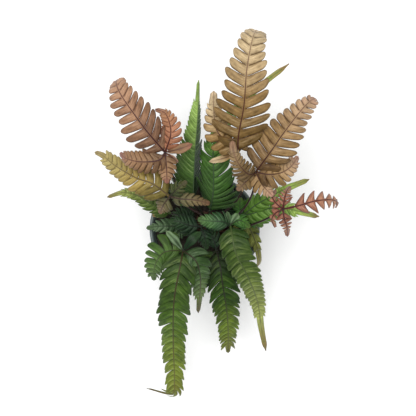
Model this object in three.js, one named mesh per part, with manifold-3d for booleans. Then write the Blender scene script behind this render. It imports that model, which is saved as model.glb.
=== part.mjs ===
// Tricolor brake fern in a round nursery pot.
// Millimetres, +Z up. The origin is the centre of the pot's underside, and +Y runs towards the
// tall bronze frond. Each frond is one thin solid: its stipe, the fork and its lobed pinnae.

import * as THREE from 'three';
import { mergeVertices } from 'three/addons/utils/BufferGeometryUtils.js';
import Module from 'manifold-3d';

const wasm = await Module();
wasm.setup();

// Pot
const POT_HEIGHT = 90;
const POT_RIM_RADIUS = 52.5;
const POT_BASE_RADIUS = 37;
const POT_WALL = 1.6;
const POT_FLOOR = 2.4;
const POT_EDGE = 1.5;
const LIP_HEIGHT = 11;
const LIP_STEP = 2.2;
const LIP_EDGE = 1;
const POT_SIDES = 36;
const DRAIN_HOLES = 6;
const DRAIN_RADIUS = 4;
const DRAIN_RING_RADIUS = 27;
const DRAIN_SIDES = 12;

// Soil, and the rhizome that lies in it
const SOIL_TOP = 80;
const SOIL_BUMP = 1.1;
const SOIL_RINGS = [0.8, 0.6];
const GAP = 0.35;
const CROWN = [4.5, 3.5];
const RHIZOME_TOP = 83;
const RHIZOME_DEPTH = 8;
// The two lobes of the rhizome: how far each lies from the crown, and its half length and width.
const RHIZOME_LUMPS = [
  [0, 1, 19, 16],
  [8, -5, 12, 9],
];

// Stipes and pinnae
const STIPE_RADIUS = 1.1;
const STIPE_SIDES = 6;
const STIPE_STEPS = 8;
const STIPE_DEPTH = 2;
const STIPE_HOLE_HEIGHT = 12;
const HOLE_CLEARANCE = 0.9;
const FORK_RADIUS = 1.6;
const BLADE_THICKNESS = 0.8;
const RIB_THICKNESS = 1.3;
const WING_WIDTH = 1.3;
const STALK_LENGTH = 2.8;
const STALK_WIDTH = 0.75;
const TAIL_WIDTH = 2.8;
const TAIL_SHARE = 0.22;
const TAIL_MIDDLE = 0.8;
const LONG_PINNA = 6;
const TIP_WIDTH = 0.6;
const HALF_FOLD = -10;
// A plain blade: its half width against its reach, at shares of its length.
const PLAIN_BLADE = [[0.25, 0.6], [0.55, 1], [0.85, 0.75]];
const LOBE_CROWDING = 0.15;
const FULL_LOBES_AT = 0.3;
const LOBE_SHOULDER = 0.78;
const LOBE_BACK = 0.46;
const LOBE_FRONT = 0.28;
const LOBE_END = 0.42;
const LOBE_DROOP = 6;
const LOBE_VARIATION = 0.06;
const SEED = 31;

// The fronds. Each has the foot of its stipe on the rhizome, the points its stipe bends through,
// the fork, and its pinnae. A pinna has the points that its rib passes after the fork, the reach
// of its longest lobes and its pairs of lobes; with no pairs it is one plain blade, as wide to each
// side as its reach. Some also have the share of their length that is a plain tail, the half width
// of that tail, the degrees that their halves fold up (down, if negative), the degrees that they are
// turned about their rib, right side down, and those that they twist on from fork to tip, the
// degrees between lobes and rib at the fork and at the tip, those on the left apart where they
// differ, the share of the lobed stretch where lobes are longest, how long the last are against the
// longest, how slim they are against the usual ones, and the length of bare stalk at the fork.
const FRONDS = [
  {
    name: 'frond_bronze_tall',
    leaf: 'bronze',
    foot: [7, 9],
    bends: [[10, 12, 104], [24, 21, 130], [35, 38, 152], [35, 54, 180]],
    fork: [28, 66, 206],
    pinnae: [
      {
        rib: [
          [28, 78, 214], [32, 102, 231], [34, 130, 240], [39, 156, 234], [43, 165, 219],
          [43, 163, 203],
        ],
        reach: 25.2, lobes: 12, tail: 0.08, full: 0.2, end: 0.34, lean: [72, 62],
        leftLean: [94, 62], slim: 1.2,
      },
      {
        rib: [[20, 74, 206], [11, 83, 208], [8, 99, 207], [8, 118, 197]],
        reach: 13.5, lobes: 6, tailWidth: 4, slim: 1.1, lean: [76, 60],
      },
      { rib: [[18, 62, 200], [4, 59, 192]], reach: 3, lobes: 0 },
      { rib: [[36, 77, 196], [46, 88, 185]], reach: 8.5, lobes: 3, stalk: 5 },
    ],
  },
  {
    name: 'frond_bronze_right',
    leaf: 'bronze',
    foot: [7, 3.5],
    bends: [[13, 6, 112], [30, 14, 140], [41, 31, 172]],
    fork: [43, 50, 200],
    pinnae: [
      {
        rib: [[56, 68, 211], [65, 81, 210], [85, 106, 196], [94, 113, 186], [98, 111, 175]],
        reach: 21, lobes: 10, tail: 0.14, fold: -12, lean: [68, 52], leftLean: [80, 54],
        slim: 1.04, end: 0.35,
      },
      {
        rib: [[37, 48, 206], [27, 58, 218], [24, 66, 221], [23, 75, 218]],
        reach: 11, lobes: 5, tail: 0.24, tailWidth: 3.4, fold: 8, slim: 1.1,
      },
      {
        rib: [[53, 48, 203], [63, 49, 202], [72, 54, 196], [80, 64, 184]],
        reach: 13, lobes: 5, tail: 0.12, slim: 1.1, turn: -10, twist: -12,
      },
      { rib: [[36, 43, 196], [28, 35, 180]], reach: 10, lobes: 3, tail: 0.16, slim: 1.1 },
      { rib: [[49, 39, 197], [58, 30, 191]], reach: 10.5, lobes: 3, tail: 0.14, slim: 1.1 },
    ],
  },
  {
    name: 'frond_bronze_left',
    leaf: 'bronze',
    foot: [-4.5, 12],
    bends: [[-8.5, 16, 115], [-19.5, 27, 147], [-27, 47, 169]],
    fork: [-33, 67, 190],
    pinnae: [
      {
        rib: [
          [-47, 83, 202], [-56, 95, 204], [-71, 117, 195], [-75, 127, 185], [-74, 131, 172],
          [-69, 128, 160],
        ],
        reach: 20, lobes: 10, tail: 0.1, fold: -12, lean: [63, 55], leftLean: [88, 64], end: 0.34,
      },
      {
        rib: [[-28, 82, 197], [-29, 91, 195], [-33, 100, 189], [-42, 105, 178]],
        reach: 11.5, lobes: 5, slim: 1.1, turn: -13, twist: -15,
      },
      {
        rib: [[-37, 61, 191], [-53, 59, 190], [-66, 62, 184], [-73, 67, 174]],
        reach: 12.5, lobes: 5, tail: 0.12, slim: 1.1,
      },
      { rib: [[-20, 70, 193], [-10, 74, 191]], reach: 4.3, lobes: 0 },
      { rib: [[-27, 63, 187], [-22, 59, 182]], reach: 1.8, lobes: 0 },
      { rib: [[-32, 54, 188], [-32, 41, 178]], reach: 10.5, lobes: 3, tail: 0.14, slim: 1.1 },
    ],
  },
  {
    name: 'frond_red_young',
    leaf: 'red',
    foot: [14.5, -4],
    bends: [[15.2, -4, 91], [22, -3, 105], [40, 4, 137], [55, 11, 168]],
    fork: [67, 19, 186],
    pinnae: [
      {
        rib: [[80, 22, 190], [94, 26, 191], [107, 27, 187], [115, 25, 176], [116, 21, 162]],
        reach: 13.5, lobes: 6, tail: 0.14, fold: -32, slim: 0.42, stalk: 10, lean: [66, 56],
      },
      { rib: [[68, 28, 189], [70, 34, 186], [74, 39, 176]], reach: 9, lobes: 4, fold: -30, slim: 0.7 },
      { rib: [[68, 11, 185], [71, 4, 177], [73, -5, 161]], reach: 9, lobes: 4, fold: -30, slim: 0.7 },
      { rib: [[61, 24, 186], [58, 30, 181], [61, 36, 172]], reach: 6, lobes: 3, fold: -30, slim: 0.6 },
      { rib: [[61, 16, 185], [58, 11, 180], [61, 3, 168]], reach: 6, lobes: 3, fold: -30, slim: 0.6 },
    ],
  },
  {
    name: 'frond_olive_left',
    leaf: 'olive',
    foot: [2, 3.5],
    bends: [[1, 6.5, 112], [-3, 14, 140]],
    fork: [-30, 30, 165],
    pinnae: [
      {
        rib: [[-45, 41, 171], [-59, 46, 168], [-81, 59, 152], [-91, 67, 142], [-100, 71, 128]],
        reach: 18, lobes: 8, tail: 0.2, full: 0.15, slim: 1.08,
      },
      { rib: [[-23, 37, 173], [-15, 43, 176]], reach: 9, lobes: 3 },
      { rib: [[-21, 28, 168], [-9, 27, 168], [5, 24, 158]], reach: 8, lobes: 5, tail: 0.12 },
      { rib: [[-35, 24, 162], [-40, 15, 148]], reach: 11, lobes: 2 },
    ],
  },
  {
    name: 'frond_olive_small',
    leaf: 'olive',
    foot: [18.5, -1],
    bends: [[22, 1, 88], [30, 4, 98]],
    fork: [38, 7, 102],
    pinnae: [
      {
        rib: [[43, -1, 107], [49, -16, 103], [52, -30, 90], [51, -37, 74]],
        reach: 9, lobes: 3, tail: 0.5,
      },
      { rib: [[31, 0, 100], [27, -9, 91]], reach: 6, lobes: 2 },
      { rib: [[47, 8, 101], [55, 4, 97]], reach: 6, lobes: 2 },
    ],
  },
  {
    name: 'frond_green_left',
    leaf: 'green',
    foot: [-6, 2],
    bends: [[-9, 4, 110], [-18, 9, 122]],
    fork: [-30, 15, 125],
    pinnae: [
      {
        rib: [[-48, 24, 138], [-60, 31, 138], [-73, 34, 132], [-90, 30, 116]],
        reach: 11, lobes: 7, tail: 0.28, turn: -8, twist: -14, tailWidth: 2.3,
      },
      { rib: [[-41, 17, 126], [-48, 13, 118]], reach: 8, lobes: 3 },
    ],
  },
  {
    name: 'frond_green_up_left',
    leaf: 'green',
    foot: [0, 10],
    bends: [[-1, 13, 105], [-5, 20, 122]],
    fork: [-10, 27, 132],
    pinnae: [
      {
        rib: [[-9.5, 42, 150], [-8, 72, 166], [-6, 100, 162], [-5, 135, 140]],
        reach: 27, lobes: 10, tail: 0.2, tailWidth: 2.6, fold: -38, turn: 34, full: 0.05,
        end: 0.22, slim: 1.15,
      },
      { rib: [[-20, 31, 132], [-32, 42, 126]], reach: 12, lobes: 3 },
    ],
  },
  {
    name: 'frond_green_up_mid',
    leaf: 'green',
    foot: [4, 14],
    bends: [[4, 14, 105], [4, 14, 120]],
    fork: [5, 17, 130],
    pinnae: [
      {
        rib: [[8, 36, 162], [8, 55, 172], [8, 72, 170], [19, 98, 156], [52, 132, 132], [78, 153, 118]],
        reach: 27, lobes: 10, tail: 0.34, fold: -20, turn: -6, twist: 46, tailWidth: 2.8,
        full: 0.1, end: 0.15,
      },
    ],
  },
  {
    name: 'frond_green_right',
    leaf: 'green',
    foot: [15.5, 2.5],
    bends: [[20, 4, 98], [27, 8, 110]],
    fork: [35, 13, 118],
    pinnae: [
      {
        rib: [[44, 15, 126], [56, 19, 131], [70, 20, 130], [107, 12, 106]],
        reach: 17, lobes: 7, tail: 0.34, tailWidth: 3.4,
      },
      {
        rib: [[47, 23, 132], [59, 30, 141], [70, 36, 144], [95, 46, 132]],
        reach: 12, lobes: 5, tail: 0.34, tailWidth: 3.2,
      },
      { rib: [[45, 7, 114], [55, 3, 104]], reach: 8, lobes: 3 },
      { rib: [[32.5, 20.5, 122], [33, 29.5, 124]], reach: 10, lobes: 3, stalk: 4 },
    ],
  },
  {
    name: 'frond_green_low_right',
    leaf: 'green',
    foot: [9, -1.5],
    bends: [[12, -1, 108], [19, 3, 134]],
    fork: [23, 5, 150],
    pinnae: [
      {
        rib: [
          [25, -7, 157], [27, -18, 157], [39, -42, 143], [49, -67, 116], [54, -94, 88], [60, -120, 62],
        ],
        reach: 15.5, lobes: 10, tail: 0.32, tailWidth: 3.3, lean: [68, 52], end: 0.42,
      },
      { rib: [[15, 8, 157], [5, 8.5, 156], [-6, 10, 149]], reach: 11, lobes: 4, tail: 0.12 },
      { rib: [[31, 9, 154], [41, 3, 147]], reach: 11, lobes: 3 },
      { rib: [[20, 17, 156]], reach: 2.4, lobes: 0 },
      { rib: [[30, 15, 156]], reach: 4, lobes: 0 },
    ],
  },
  {
    name: 'frond_green_low_mid',
    leaf: 'green',
    foot: [5, -5.5],
    bends: [[6, -8, 98], [9, -13, 112]],
    fork: [11, -19, 118],
    pinnae: [
      {
        rib: [[14, -31, 124], [16, -46, 123], [20, -71, 110], [22, -90, 94], [23, -122, 62]],
        reach: 20.5, lobes: 10, tail: 0.08, end: 0.52, lean: [52, 38],
      },
      { rib: [[21, -30, 117], [33, -43, 102]], reach: 10, lobes: 3 },
      { rib: [[4, -29, 114], [-1, -44, 100]], reach: 12, lobes: 3 },
      { rib: [[9, -11, 122], [3, 3, 122]], reach: 11, lobes: 4 },
    ],
  },
  {
    name: 'frond_green_low_left',
    leaf: 'green',
    foot: [-2, -4],
    bends: [[-5, -4, 110], [-12, -9, 140]],
    fork: [-19, -18, 150],
    pinnae: [
      {
        rib: [
          [-21.5, -32, 157], [-26.7, -60, 151], [-28.8, -105, 118], [-29, -146, 84], [-31, -160, 73],
          [-57, -157, 62],
        ],
        reach: 19.5, lobes: 13, tail: 0.14, tailWidth: 1.4, end: 0.7, lean: [56, 34],
      },
      {
        rib: [
          [-28.5, -17.5, 156], [-35.5, -19, 157], [-41.5, -25.5, 151], [-45.5, -36, 140],
          [-46, -46, 128],
        ],
        reach: 16.5, lobes: 6, tail: 0.1, slim: 0.92, lean: [84, 52], leftLean: [52, 40],
        turn: -32, twist: -32,
      },
      {
        rib: [[-8, -26, 155], [-4, -39, 146], [-4, -55, 126], [-6, -79, 96]],
        reach: 14.5, lobes: 6, tail: 0.28, turn: 18, slim: 1.06,
      },
      { rib: [[-26, -8, 158], [-34, 0, 154]], reach: 3.8, lobes: 0 },
      { rib: [[-10, -7, 157], [-3, -1, 152]], reach: 4.4, lobes: 0 },
    ],
  },
  {
    name: 'frond_shade_centre',
    leaf: 'shade',
    foot: [-4, 7],
    bends: [[-5.5, 8, 90], [-8, 8, 98]],
    fork: [-10, 8, 104],
    pinnae: [
      { rib: [[-18, 12, 108], [-31, 15, 104]], reach: 14, lobes: 5 },
      { rib: [[-15, 2, 109], [-20, -6, 107]], reach: 5, lobes: 0 },
      { rib: [[-15, 16, 107], [-18, 26, 105]], reach: 9, lobes: 3 },
    ],
  },
  {
    name: 'frond_shade_left',
    leaf: 'shade',
    foot: [-7, -3],
    bends: [[-9, -2, 88], [-14, 1, 95]],
    fork: [-19, 4, 98],
    pinnae: [
      { rib: [[-30, 3, 103], [-42, 3, 105], [-55, 1, 98]], reach: 11, lobes: 5 },
      { rib: [[-25, -3, 100], [-32, -11, 94]], reach: 9, lobes: 3 },
    ],
  },
  {
    name: 'frond_shade_right',
    leaf: 'shade',
    foot: [11.5, 6.5],
    bends: [[13, 9, 88], [14, 13, 95]],
    fork: [15, 17, 98],
    pinnae: [
      { rib: [[24, 26, 108], [34, 36, 104]], reach: 15, lobes: 5 },
      { rib: [[29, 14, 103], [43, 14, 97]], reach: 9, lobes: 4 },
      { rib: [[11, 25, 106], [5, 37, 102]], reach: 13, lobes: 4 },
    ],
  },
  {
    name: 'frond_shade_front',
    leaf: 'shade',
    foot: [0.5, -1.5],
    bends: [[0, -1, 98], [-2, 1, 116]],
    fork: [-3, 3, 130],
    pinnae: [
      { rib: [[-13, 4, 132], [-24, 8, 134], [-34, 8, 129]], reach: 11.5, lobes: 5 },
      { rib: [[4, 5, 132], [12, 3, 128]], reach: 9.5, lobes: 3 },
      { rib: [[0, -6, 132], [2, -18, 125]], reach: 9.5, lobes: 3 },
    ],
  },
];

// The kinds of leaf, by age and light: the colour, how long the lobes next to the fork are against
// the longest of their pinna, and the degrees between lobes and rib at the fork and at the tip.
const LEAVES = {
  bronze: { colour: 0x8a6a48, baseLobe: 0.8, lean: [68, 52] },
  red: { colour: 0x935a50, baseLobe: 0.9, lean: [66, 50] },
  olive: { colour: 0x9a8c58, baseLobe: 0.9, lean: [60, 48] },
  green: { colour: 0x5f7f3c, baseLobe: 1, lean: [56, 42] },
  shade: { colour: 0x3f5c3c, baseLobe: 1, lean: [58, 46] },
};

// A repeatable stream of numbers from 0 to 1, the same on every run.
function seededNumbers(seed) {
  let state = seed;
  return () => {
    state = (state * 1664525 + 1013904223) % 4294967296;
    return state / 4294967296;
  };
}

// A closed geometry as a solid that can be joined and cut.
function solidOf(geometry) {
  const bare = geometry.clone();
  bare.deleteAttribute('normal');
  bare.deleteAttribute('uv');
  const merged = mergeVertices(bare);
  const corners = [...merged.index.array];
  const triangles = [];
  for (let i = 0; i < corners.length; i += 3) {
    const [a, b, c] = corners.slice(i, i + 3);
    if (a !== b && b !== c && c !== a) {
      triangles.push(a, b, c);
    }
  }
  return new wasm.Manifold(new wasm.Mesh({
    numProp: 3,
    vertProperties: merged.attributes.position.array,
    triVerts: new Uint32Array(triangles),
  }));
}

// A named mesh of a finished solid.
function meshOf(name, solid, colour, roughness) {
  const { vertProperties, triVerts } = solid.getMesh();
  const geometry = new THREE.BufferGeometry();
  geometry.setAttribute('position', new THREE.BufferAttribute(vertProperties, 3));
  geometry.setIndex(new THREE.BufferAttribute(triVerts, 1));
  geometry.computeVertexNormals();
  const material = new THREE.MeshStandardMaterial({ color: colour, roughness, metalness: 0 });
  const mesh = new THREE.Mesh(geometry, material);
  mesh.name = name;
  return mesh;
}

// A solid turned on the Z axis from [radius, height] points.
function turned(profile) {
  const points = profile.map(([radius, height]) => new THREE.Vector2(radius, height));
  return new THREE.LatheGeometry(points, POT_SIDES).rotateX(Math.PI / 2);
}

// The radius of the pot's inner wall at a height above the base.
function innerRadius(height) {
  const slope = (POT_RIM_RADIUS - LIP_STEP - POT_BASE_RADIUS) / POT_HEIGHT;
  return POT_BASE_RADIUS - POT_WALL + slope * height;
}

// The pot: a tapered cup with a stepped lip and six drain holes in its floor.
function pot() {
  const lipBottom = POT_HEIGHT - LIP_HEIGHT;
  const cup = solidOf(turned([
    [0, 0],
    [POT_BASE_RADIUS - POT_EDGE, 0],
    [POT_BASE_RADIUS, POT_EDGE],
    [innerRadius(lipBottom) + POT_WALL, lipBottom],
    [POT_RIM_RADIUS - LIP_EDGE / 2, lipBottom + LIP_EDGE / 2],
    [POT_RIM_RADIUS, POT_HEIGHT - LIP_EDGE],
    [POT_RIM_RADIUS - LIP_EDGE, POT_HEIGHT],
    [POT_RIM_RADIUS - LIP_STEP, POT_HEIGHT],
    [innerRadius(POT_HEIGHT) + LIP_EDGE / 2, POT_HEIGHT - LIP_EDGE],
    [innerRadius(lipBottom), lipBottom],
    [innerRadius(POT_FLOOR + POT_EDGE), POT_FLOOR + POT_EDGE],
    [innerRadius(POT_FLOOR) - POT_EDGE, POT_FLOOR],
    [0, POT_FLOOR],
  ]));
  const drill = new THREE.CylinderGeometry(DRAIN_RADIUS, DRAIN_RADIUS, POT_FLOOR * 3, DRAIN_SIDES);
  drill.rotateX(Math.PI / 2);
  let drilled = cup;
  for (let i = 0; i < DRAIN_HOLES; i += 1) {
    const angle = (2 * Math.PI * i) / DRAIN_HOLES;
    const x = DRAIN_RING_RADIUS * Math.cos(angle);
    const y = DRAIN_RING_RADIUS * Math.sin(angle);
    drilled = drilled.subtract(solidOf(drill.clone().translate(x, y, 0)));
  }
  return drilled;
}

// The rhizome: a knobbly flattened lump, grown by `margin` for the hollow that it lies in.
function rhizomeLump(margin) {
  const solids = RHIZOME_LUMPS.map(([x, y, along, across]) => {
    const lump = new THREE.SphereGeometry(1, 9, 5).rotateX(Math.PI / 2);
    lump.scale(along + margin, across + margin, RHIZOME_DEPTH + margin);
    return solidOf(lump.translate(CROWN[0] + x, CROWN[1] + y, RHIZOME_TOP - RHIZOME_DEPTH));
  });
  return solids.reduce((all, lump) => all.add(lump));
}

// A body with one plain blind hole in it for the stipe of each frond.
function withStipeHoles(body) {
  const radius = STIPE_RADIUS + HOLE_CLEARANCE;
  const middle = SOIL_TOP - STIPE_DEPTH - GAP + STIPE_HOLE_HEIGHT / 2;
  return FRONDS.reduce((left, { foot }) => {
    const hole = new THREE.CylinderGeometry(radius, radius, STIPE_HOLE_HEIGHT, STIPE_SIDES);
    return left.subtract(solidOf(hole.rotateX(Math.PI / 2).translate(...foot, middle)));
  }, body);
}

// The soil: it fills the pot to just under the lip, uneven on top, hollow under the rhizome.
function soil() {
  const bottom = POT_FLOOR + GAP;
  const edge = innerRadius(SOIL_TOP) - GAP;
  const body = turned([
    [0, bottom],
    [innerRadius(bottom) - POT_EDGE - GAP, bottom],
    [innerRadius(bottom + POT_EDGE) - GAP, bottom + POT_EDGE],
    [edge, SOIL_TOP],
    ...SOIL_RINGS.map((share) => [edge * share, SOIL_TOP]),
    [0, SOIL_TOP],
  ]);
  const place = body.attributes.position;
  for (let i = 0; i < place.count; i += 1) {
    const x = place.getX(i);
    const y = place.getY(i);
    if (place.getZ(i) > SOIL_TOP - 1 && Math.hypot(x, y) < edge - 1) {
      const bump = Math.sin(0.37 * x + 1) * Math.cos(0.31 * y - 0.13 * x) + 0.4 * Math.sin(0.83 * y);
      place.setZ(i, SOIL_TOP + SOIL_BUMP * bump);
    }
  }
  return withStipeHoles(solidOf(body).subtract(rhizomeLump(GAP)));
}

// Frames along a rib: at each mark (a share of the curve's length) the point, the way on, the way
// to the right and the way up, carried along without twisting and then turned about the rib.
function ribFrames(points, marks, turn, twist) {
  const curve = new THREE.CatmullRomCurve3(points, false, 'centripetal');
  const heading = new THREE.Vector3().subVectors(points[points.length - 1], points[0]).setZ(0);
  const up = new THREE.Vector3(0, 0, 1);
  const right = new THREE.Vector3().crossVectors(heading, up).normalize();
  let last = curve.getTangentAt(0);
  right.addScaledVector(last, -right.dot(last)).normalize();
  right.applyAxisAngle(last, THREE.MathUtils.degToRad(turn));
  return marks.map((mark) => {
    const on = curve.getTangentAt(mark);
    right.applyQuaternion(new THREE.Quaternion().setFromUnitVectors(last, on));
    last = on;
    const side = right.clone().applyAxisAngle(on, THREE.MathUtils.degToRad(twist * mark));
    return { at: curve.getPointAt(mark), on, side, up: new THREE.Vector3().crossVectors(side, on) };
  });
}

// Closes a sheet of triangles into a solid: its lower face repeats the upper one, and a wall runs
// round every open edge.
function closedSheet(upper, lower, triangles) {
  const positions = [...upper, ...lower].flatMap((point) => point.toArray());
  const count = upper.length;
  const index = [];
  const open = new Map();
  for (const [a, b, c] of triangles) {
    index.push(a, b, c, a + count, c + count, b + count);
    for (const [from, to] of [[a, b], [b, c], [c, a]]) {
      if (!open.delete(`${to} ${from}`)) {
        open.set(`${from} ${to}`, [from, to]);
      }
    }
  }
  for (const [from, to] of open.values()) {
    index.push(to, from, from + count, to, from + count, to + count);
  }
  const geometry = new THREE.BufferGeometry();
  geometry.setAttribute('position', new THREE.Float32BufferAttribute(positions, 3));
  geometry.setIndex(index);
  return geometry;
}

// The length of the lobes at a share of the lobed stretch: longest where they are full.
function lobeLength({ reach, full = FULL_LOBES_AT, end = LOBE_END }, baseLobe, share) {
  const rise = Math.sin(Math.min(share / full, 1) * Math.PI / 2);
  const fall = Math.max(0, (share - full) / (1 - full));
  return reach * THREE.MathUtils.lerp(baseLobe, 1, rise) * THREE.MathUtils.lerp(1, end, fall);
}

// The stations along a pinna, each with its mark (a share of the length) and its half width: two
// for every pair of lobes and two for the tail, or the few of a plain blade.
function stationsOf(shape, length) {
  const { reach, lobes, tail = TAIL_SHARE, tailWidth = TAIL_WIDTH, stalk = STALK_LENGTH } = shape;
  const first = stalk / length;
  const stations = [{ mark: 0, wing: STALK_WIDTH }];
  if (lobes === 0) {
    const middle = PLAIN_BLADE.map(([mark, width]) => ({ mark, wing: width * reach }));
    return [...stations, ...middle, { mark: 1, wing: TIP_WIDTH }];
  }
  for (let i = 0; i <= lobes; i += 1) {
    const share = (i / lobes) * (1 + LOBE_CROWDING - LOBE_CROWDING * (i / lobes));
    stations.push({ mark: first + (1 - tail - first) * share, wing: WING_WIDTH, share });
  }
  stations[lobes + 1].wing = tailWidth;
  if (lobes >= LONG_PINNA) {
    stations.push({ mark: 1 - tail + TAIL_MIDDLE * tail, wing: 0.75 * tailWidth });
  }
  stations.push({ mark: 1, wing: TIP_WIDTH });
  return stations;
}

// One pinna: a ribbed strip with a strap-shaped lobe on each side between every two stations, cut
// nearly to the rib, and a plain tail. Both faces are split alike.
function pinna(fork, { baseLobe, lean }, shape, random) {
  const { rib, lobes, fold = HALF_FOLD, turn = 0, twist = 0, slim = 1 } = shape;
  const leans = { '-1': shape.leftLean ?? shape.lean ?? lean, 1: shape.lean ?? lean };
  const points = [fork, ...rib].map(([x, y, z]) => new THREE.Vector3(x, y, z));
  const length = new THREE.CatmullRomCurve3(points, false, 'centripetal').getLength();
  const stations = stationsOf(shape, length);
  const middles = stations.slice(1).map(({ mark }, i) => (mark + stations[i].mark) / 2);
  const marks = [...stations.map(({ mark }) => mark), ...middles].sort((a, b) => a - b);
  const frames = ribFrames(points, marks, turn, twist);

  const upper = [];
  const lower = [];
  const put = (frame, along, across, droop, thickness) => {
    const angle = THREE.MathUtils.degToRad(fold - droop);
    const centre = frame.at.clone().addScaledVector(frame.on, along);
    centre.addScaledVector(frame.side, across * Math.cos(angle));
    centre.addScaledVector(frame.up, Math.abs(across) * Math.sin(angle));
    upper.push(centre.clone().addScaledVector(frame.up, thickness / 2));
    lower.push(centre.clone().addScaledVector(frame.up, -thickness / 2));
    return upper.length - 1;
  };
  const rows = stations.map(({ wing }, i) => [
    put(frames[2 * i], 0, -wing, 0, BLADE_THICKNESS),
    put(frames[2 * i], 0, 0, 0, RIB_THICKNESS),
    put(frames[2 * i], 0, wing, 0, BLADE_THICKNESS),
  ]);
  const triangles = [];
  for (let i = 0; i + 1 < rows.length; i += 1) {
    const [left, centre, right] = rows[i];
    const [nextLeft, nextCentre, nextRight] = rows[i + 1];
    triangles.push([centre, nextCentre, nextLeft], [centre, nextLeft, left]);
    triangles.push([centre, right, nextRight], [centre, nextRight, nextCentre]);
  }
  for (let i = 1; i <= lobes; i += 1) {
    const frame = frames[2 * i + 1];
    const spacing = (stations[i + 1].mark - stations[i].mark) * length;
    const share = (stations[i].share + stations[i + 1].share) / 2;
    for (const side of [-1, 1]) {
      const angle = THREE.MathUtils.degToRad(THREE.MathUtils.lerp(...leans[side], share));
      const size = lobeLength(shape, baseLobe, share) * (1 + LOBE_VARIATION * (2 * random() - 1));
      const on = size * Math.cos(angle);
      const out = side * size * Math.sin(angle);
      const shoulderOn = LOBE_SHOULDER * on - LOBE_BACK * slim * spacing;
      const shoulder = put(frame, shoulderOn, LOBE_SHOULDER * out, LOBE_DROOP / 2, BLADE_THICKNESS);
      const tip = put(frame, on + LOBE_FRONT * slim * spacing, out, LOBE_DROOP, BLADE_THICKNESS);
      const near = rows[i][1 + side];
      const far = rows[i + 1][1 + side];
      if (side > 0) {
        triangles.push([near, shoulder, far], [shoulder, tip, far]);
      } else {
        triangles.push([near, far, shoulder], [shoulder, far, tip]);
      }
    }
  }
  return solidOf(closedSheet(upper, lower, triangles));
}

// The stipe: a round stem from its hole in the rhizome up to the fork.
function stipe({ foot, bends, fork }) {
  const points = [
    [...foot, SOIL_TOP - STIPE_DEPTH],
    [...foot, RHIZOME_TOP + 2],
    ...bends,
    fork,
  ].map(([x, y, z]) => new THREE.Vector3(x, y, z));
  const section = new THREE.Shape();
  for (let i = 0; i < STIPE_SIDES; i += 1) {
    const angle = (2 * Math.PI * i) / STIPE_SIDES;
    const place = [STIPE_RADIUS * Math.cos(angle), STIPE_RADIUS * Math.sin(angle)];
    if (i === 0) {
      section.moveTo(...place);
    } else {
      section.lineTo(...place);
    }
  }
  return solidOf(new THREE.ExtrudeGeometry(section, {
    steps: STIPE_STEPS,
    extrudePath: new THREE.CatmullRomCurve3(points, false, 'centripetal'),
  }));
}

// A whole frond: the stipe, a swollen fork and the pinnae, joined in one solid.
function frond(plan, random) {
  const knot = new THREE.IcosahedronGeometry(FORK_RADIUS, 0).translate(...plan.fork);
  const leaf = LEAVES[plan.leaf];
  const pinnae = plan.pinnae.map((shape) => pinna(plan.fork, leaf, shape, random));
  return pinnae.reduce((all, blade) => all.add(blade), stipe(plan).add(solidOf(knot)));
}

const group = new THREE.Group();
group.add(meshOf('pot', pot(), 0x4c5656, 0.5));
group.add(meshOf('soil', soil(), 0x33302a, 0.95));
group.add(meshOf('rhizome', withStipeHoles(rhizomeLump(0)), 0x4a3528, 0.85));
const random = seededNumbers(SEED);
for (const plan of FRONDS) {
  group.add(meshOf(plan.name, frond(plan, random), LEAVES[plan.leaf].colour, 0.45));
}

export default group;
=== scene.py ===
"""Tricolor brake fern in a round nursery pot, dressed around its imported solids.

Lengths in the rows and constants are millimetres, unless a name says otherwise, and each mesh is
scaled to metres when it is finished.
"""

import math
import random
from dataclasses import dataclass

import bmesh
import bpy
from bpy.props import FloatProperty, FloatVectorProperty, IntProperty, PointerProperty
from mathutils import Euler, Matrix, Quaternion, Vector, noise


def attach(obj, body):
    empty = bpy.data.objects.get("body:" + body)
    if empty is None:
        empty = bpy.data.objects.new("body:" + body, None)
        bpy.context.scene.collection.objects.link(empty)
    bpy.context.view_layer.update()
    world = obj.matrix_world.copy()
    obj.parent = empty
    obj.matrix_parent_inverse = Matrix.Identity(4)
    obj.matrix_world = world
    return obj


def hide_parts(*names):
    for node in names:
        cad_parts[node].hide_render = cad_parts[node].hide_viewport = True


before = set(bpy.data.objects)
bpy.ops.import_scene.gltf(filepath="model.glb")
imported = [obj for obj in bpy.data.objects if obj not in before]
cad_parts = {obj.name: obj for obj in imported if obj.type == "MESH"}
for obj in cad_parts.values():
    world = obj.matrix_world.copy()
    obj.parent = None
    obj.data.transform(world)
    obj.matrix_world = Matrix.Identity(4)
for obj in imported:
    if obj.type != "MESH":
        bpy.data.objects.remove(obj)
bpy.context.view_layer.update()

bl_info = {
    "name": "Tricolor brake fern",
    "version": (1, 0, 0),
    "blender": (4, 5, 0),
    "location": "View3D > Sidebar > Fern",
    "description": "Builds a potted tricolor brake fern with lobed fronds, soil and pot",
    "category": "Add Mesh",
}

MM = 0.001
UP = Vector((0, 0, 1))

# Pot
POT_FLOOR = 2.4
POT_WALL = 1.6
POT_EDGE = 1.5
LIP_HEIGHT = 11
LIP_STEP = 2.2
LIP_BEVEL = 1
LIP_CORNER = 0.5
POT_ROUNDING = 0.35
POT_SEGMENTS = 96
DRAIN_HOLES = 6
DRAIN_RADIUS = 4
DRAIN_RING_RADIUS = 27
DRAIN_SEGMENTS = 20
TURNED_MERGE = 0.01
FLAT_FACE = 0.99

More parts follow.
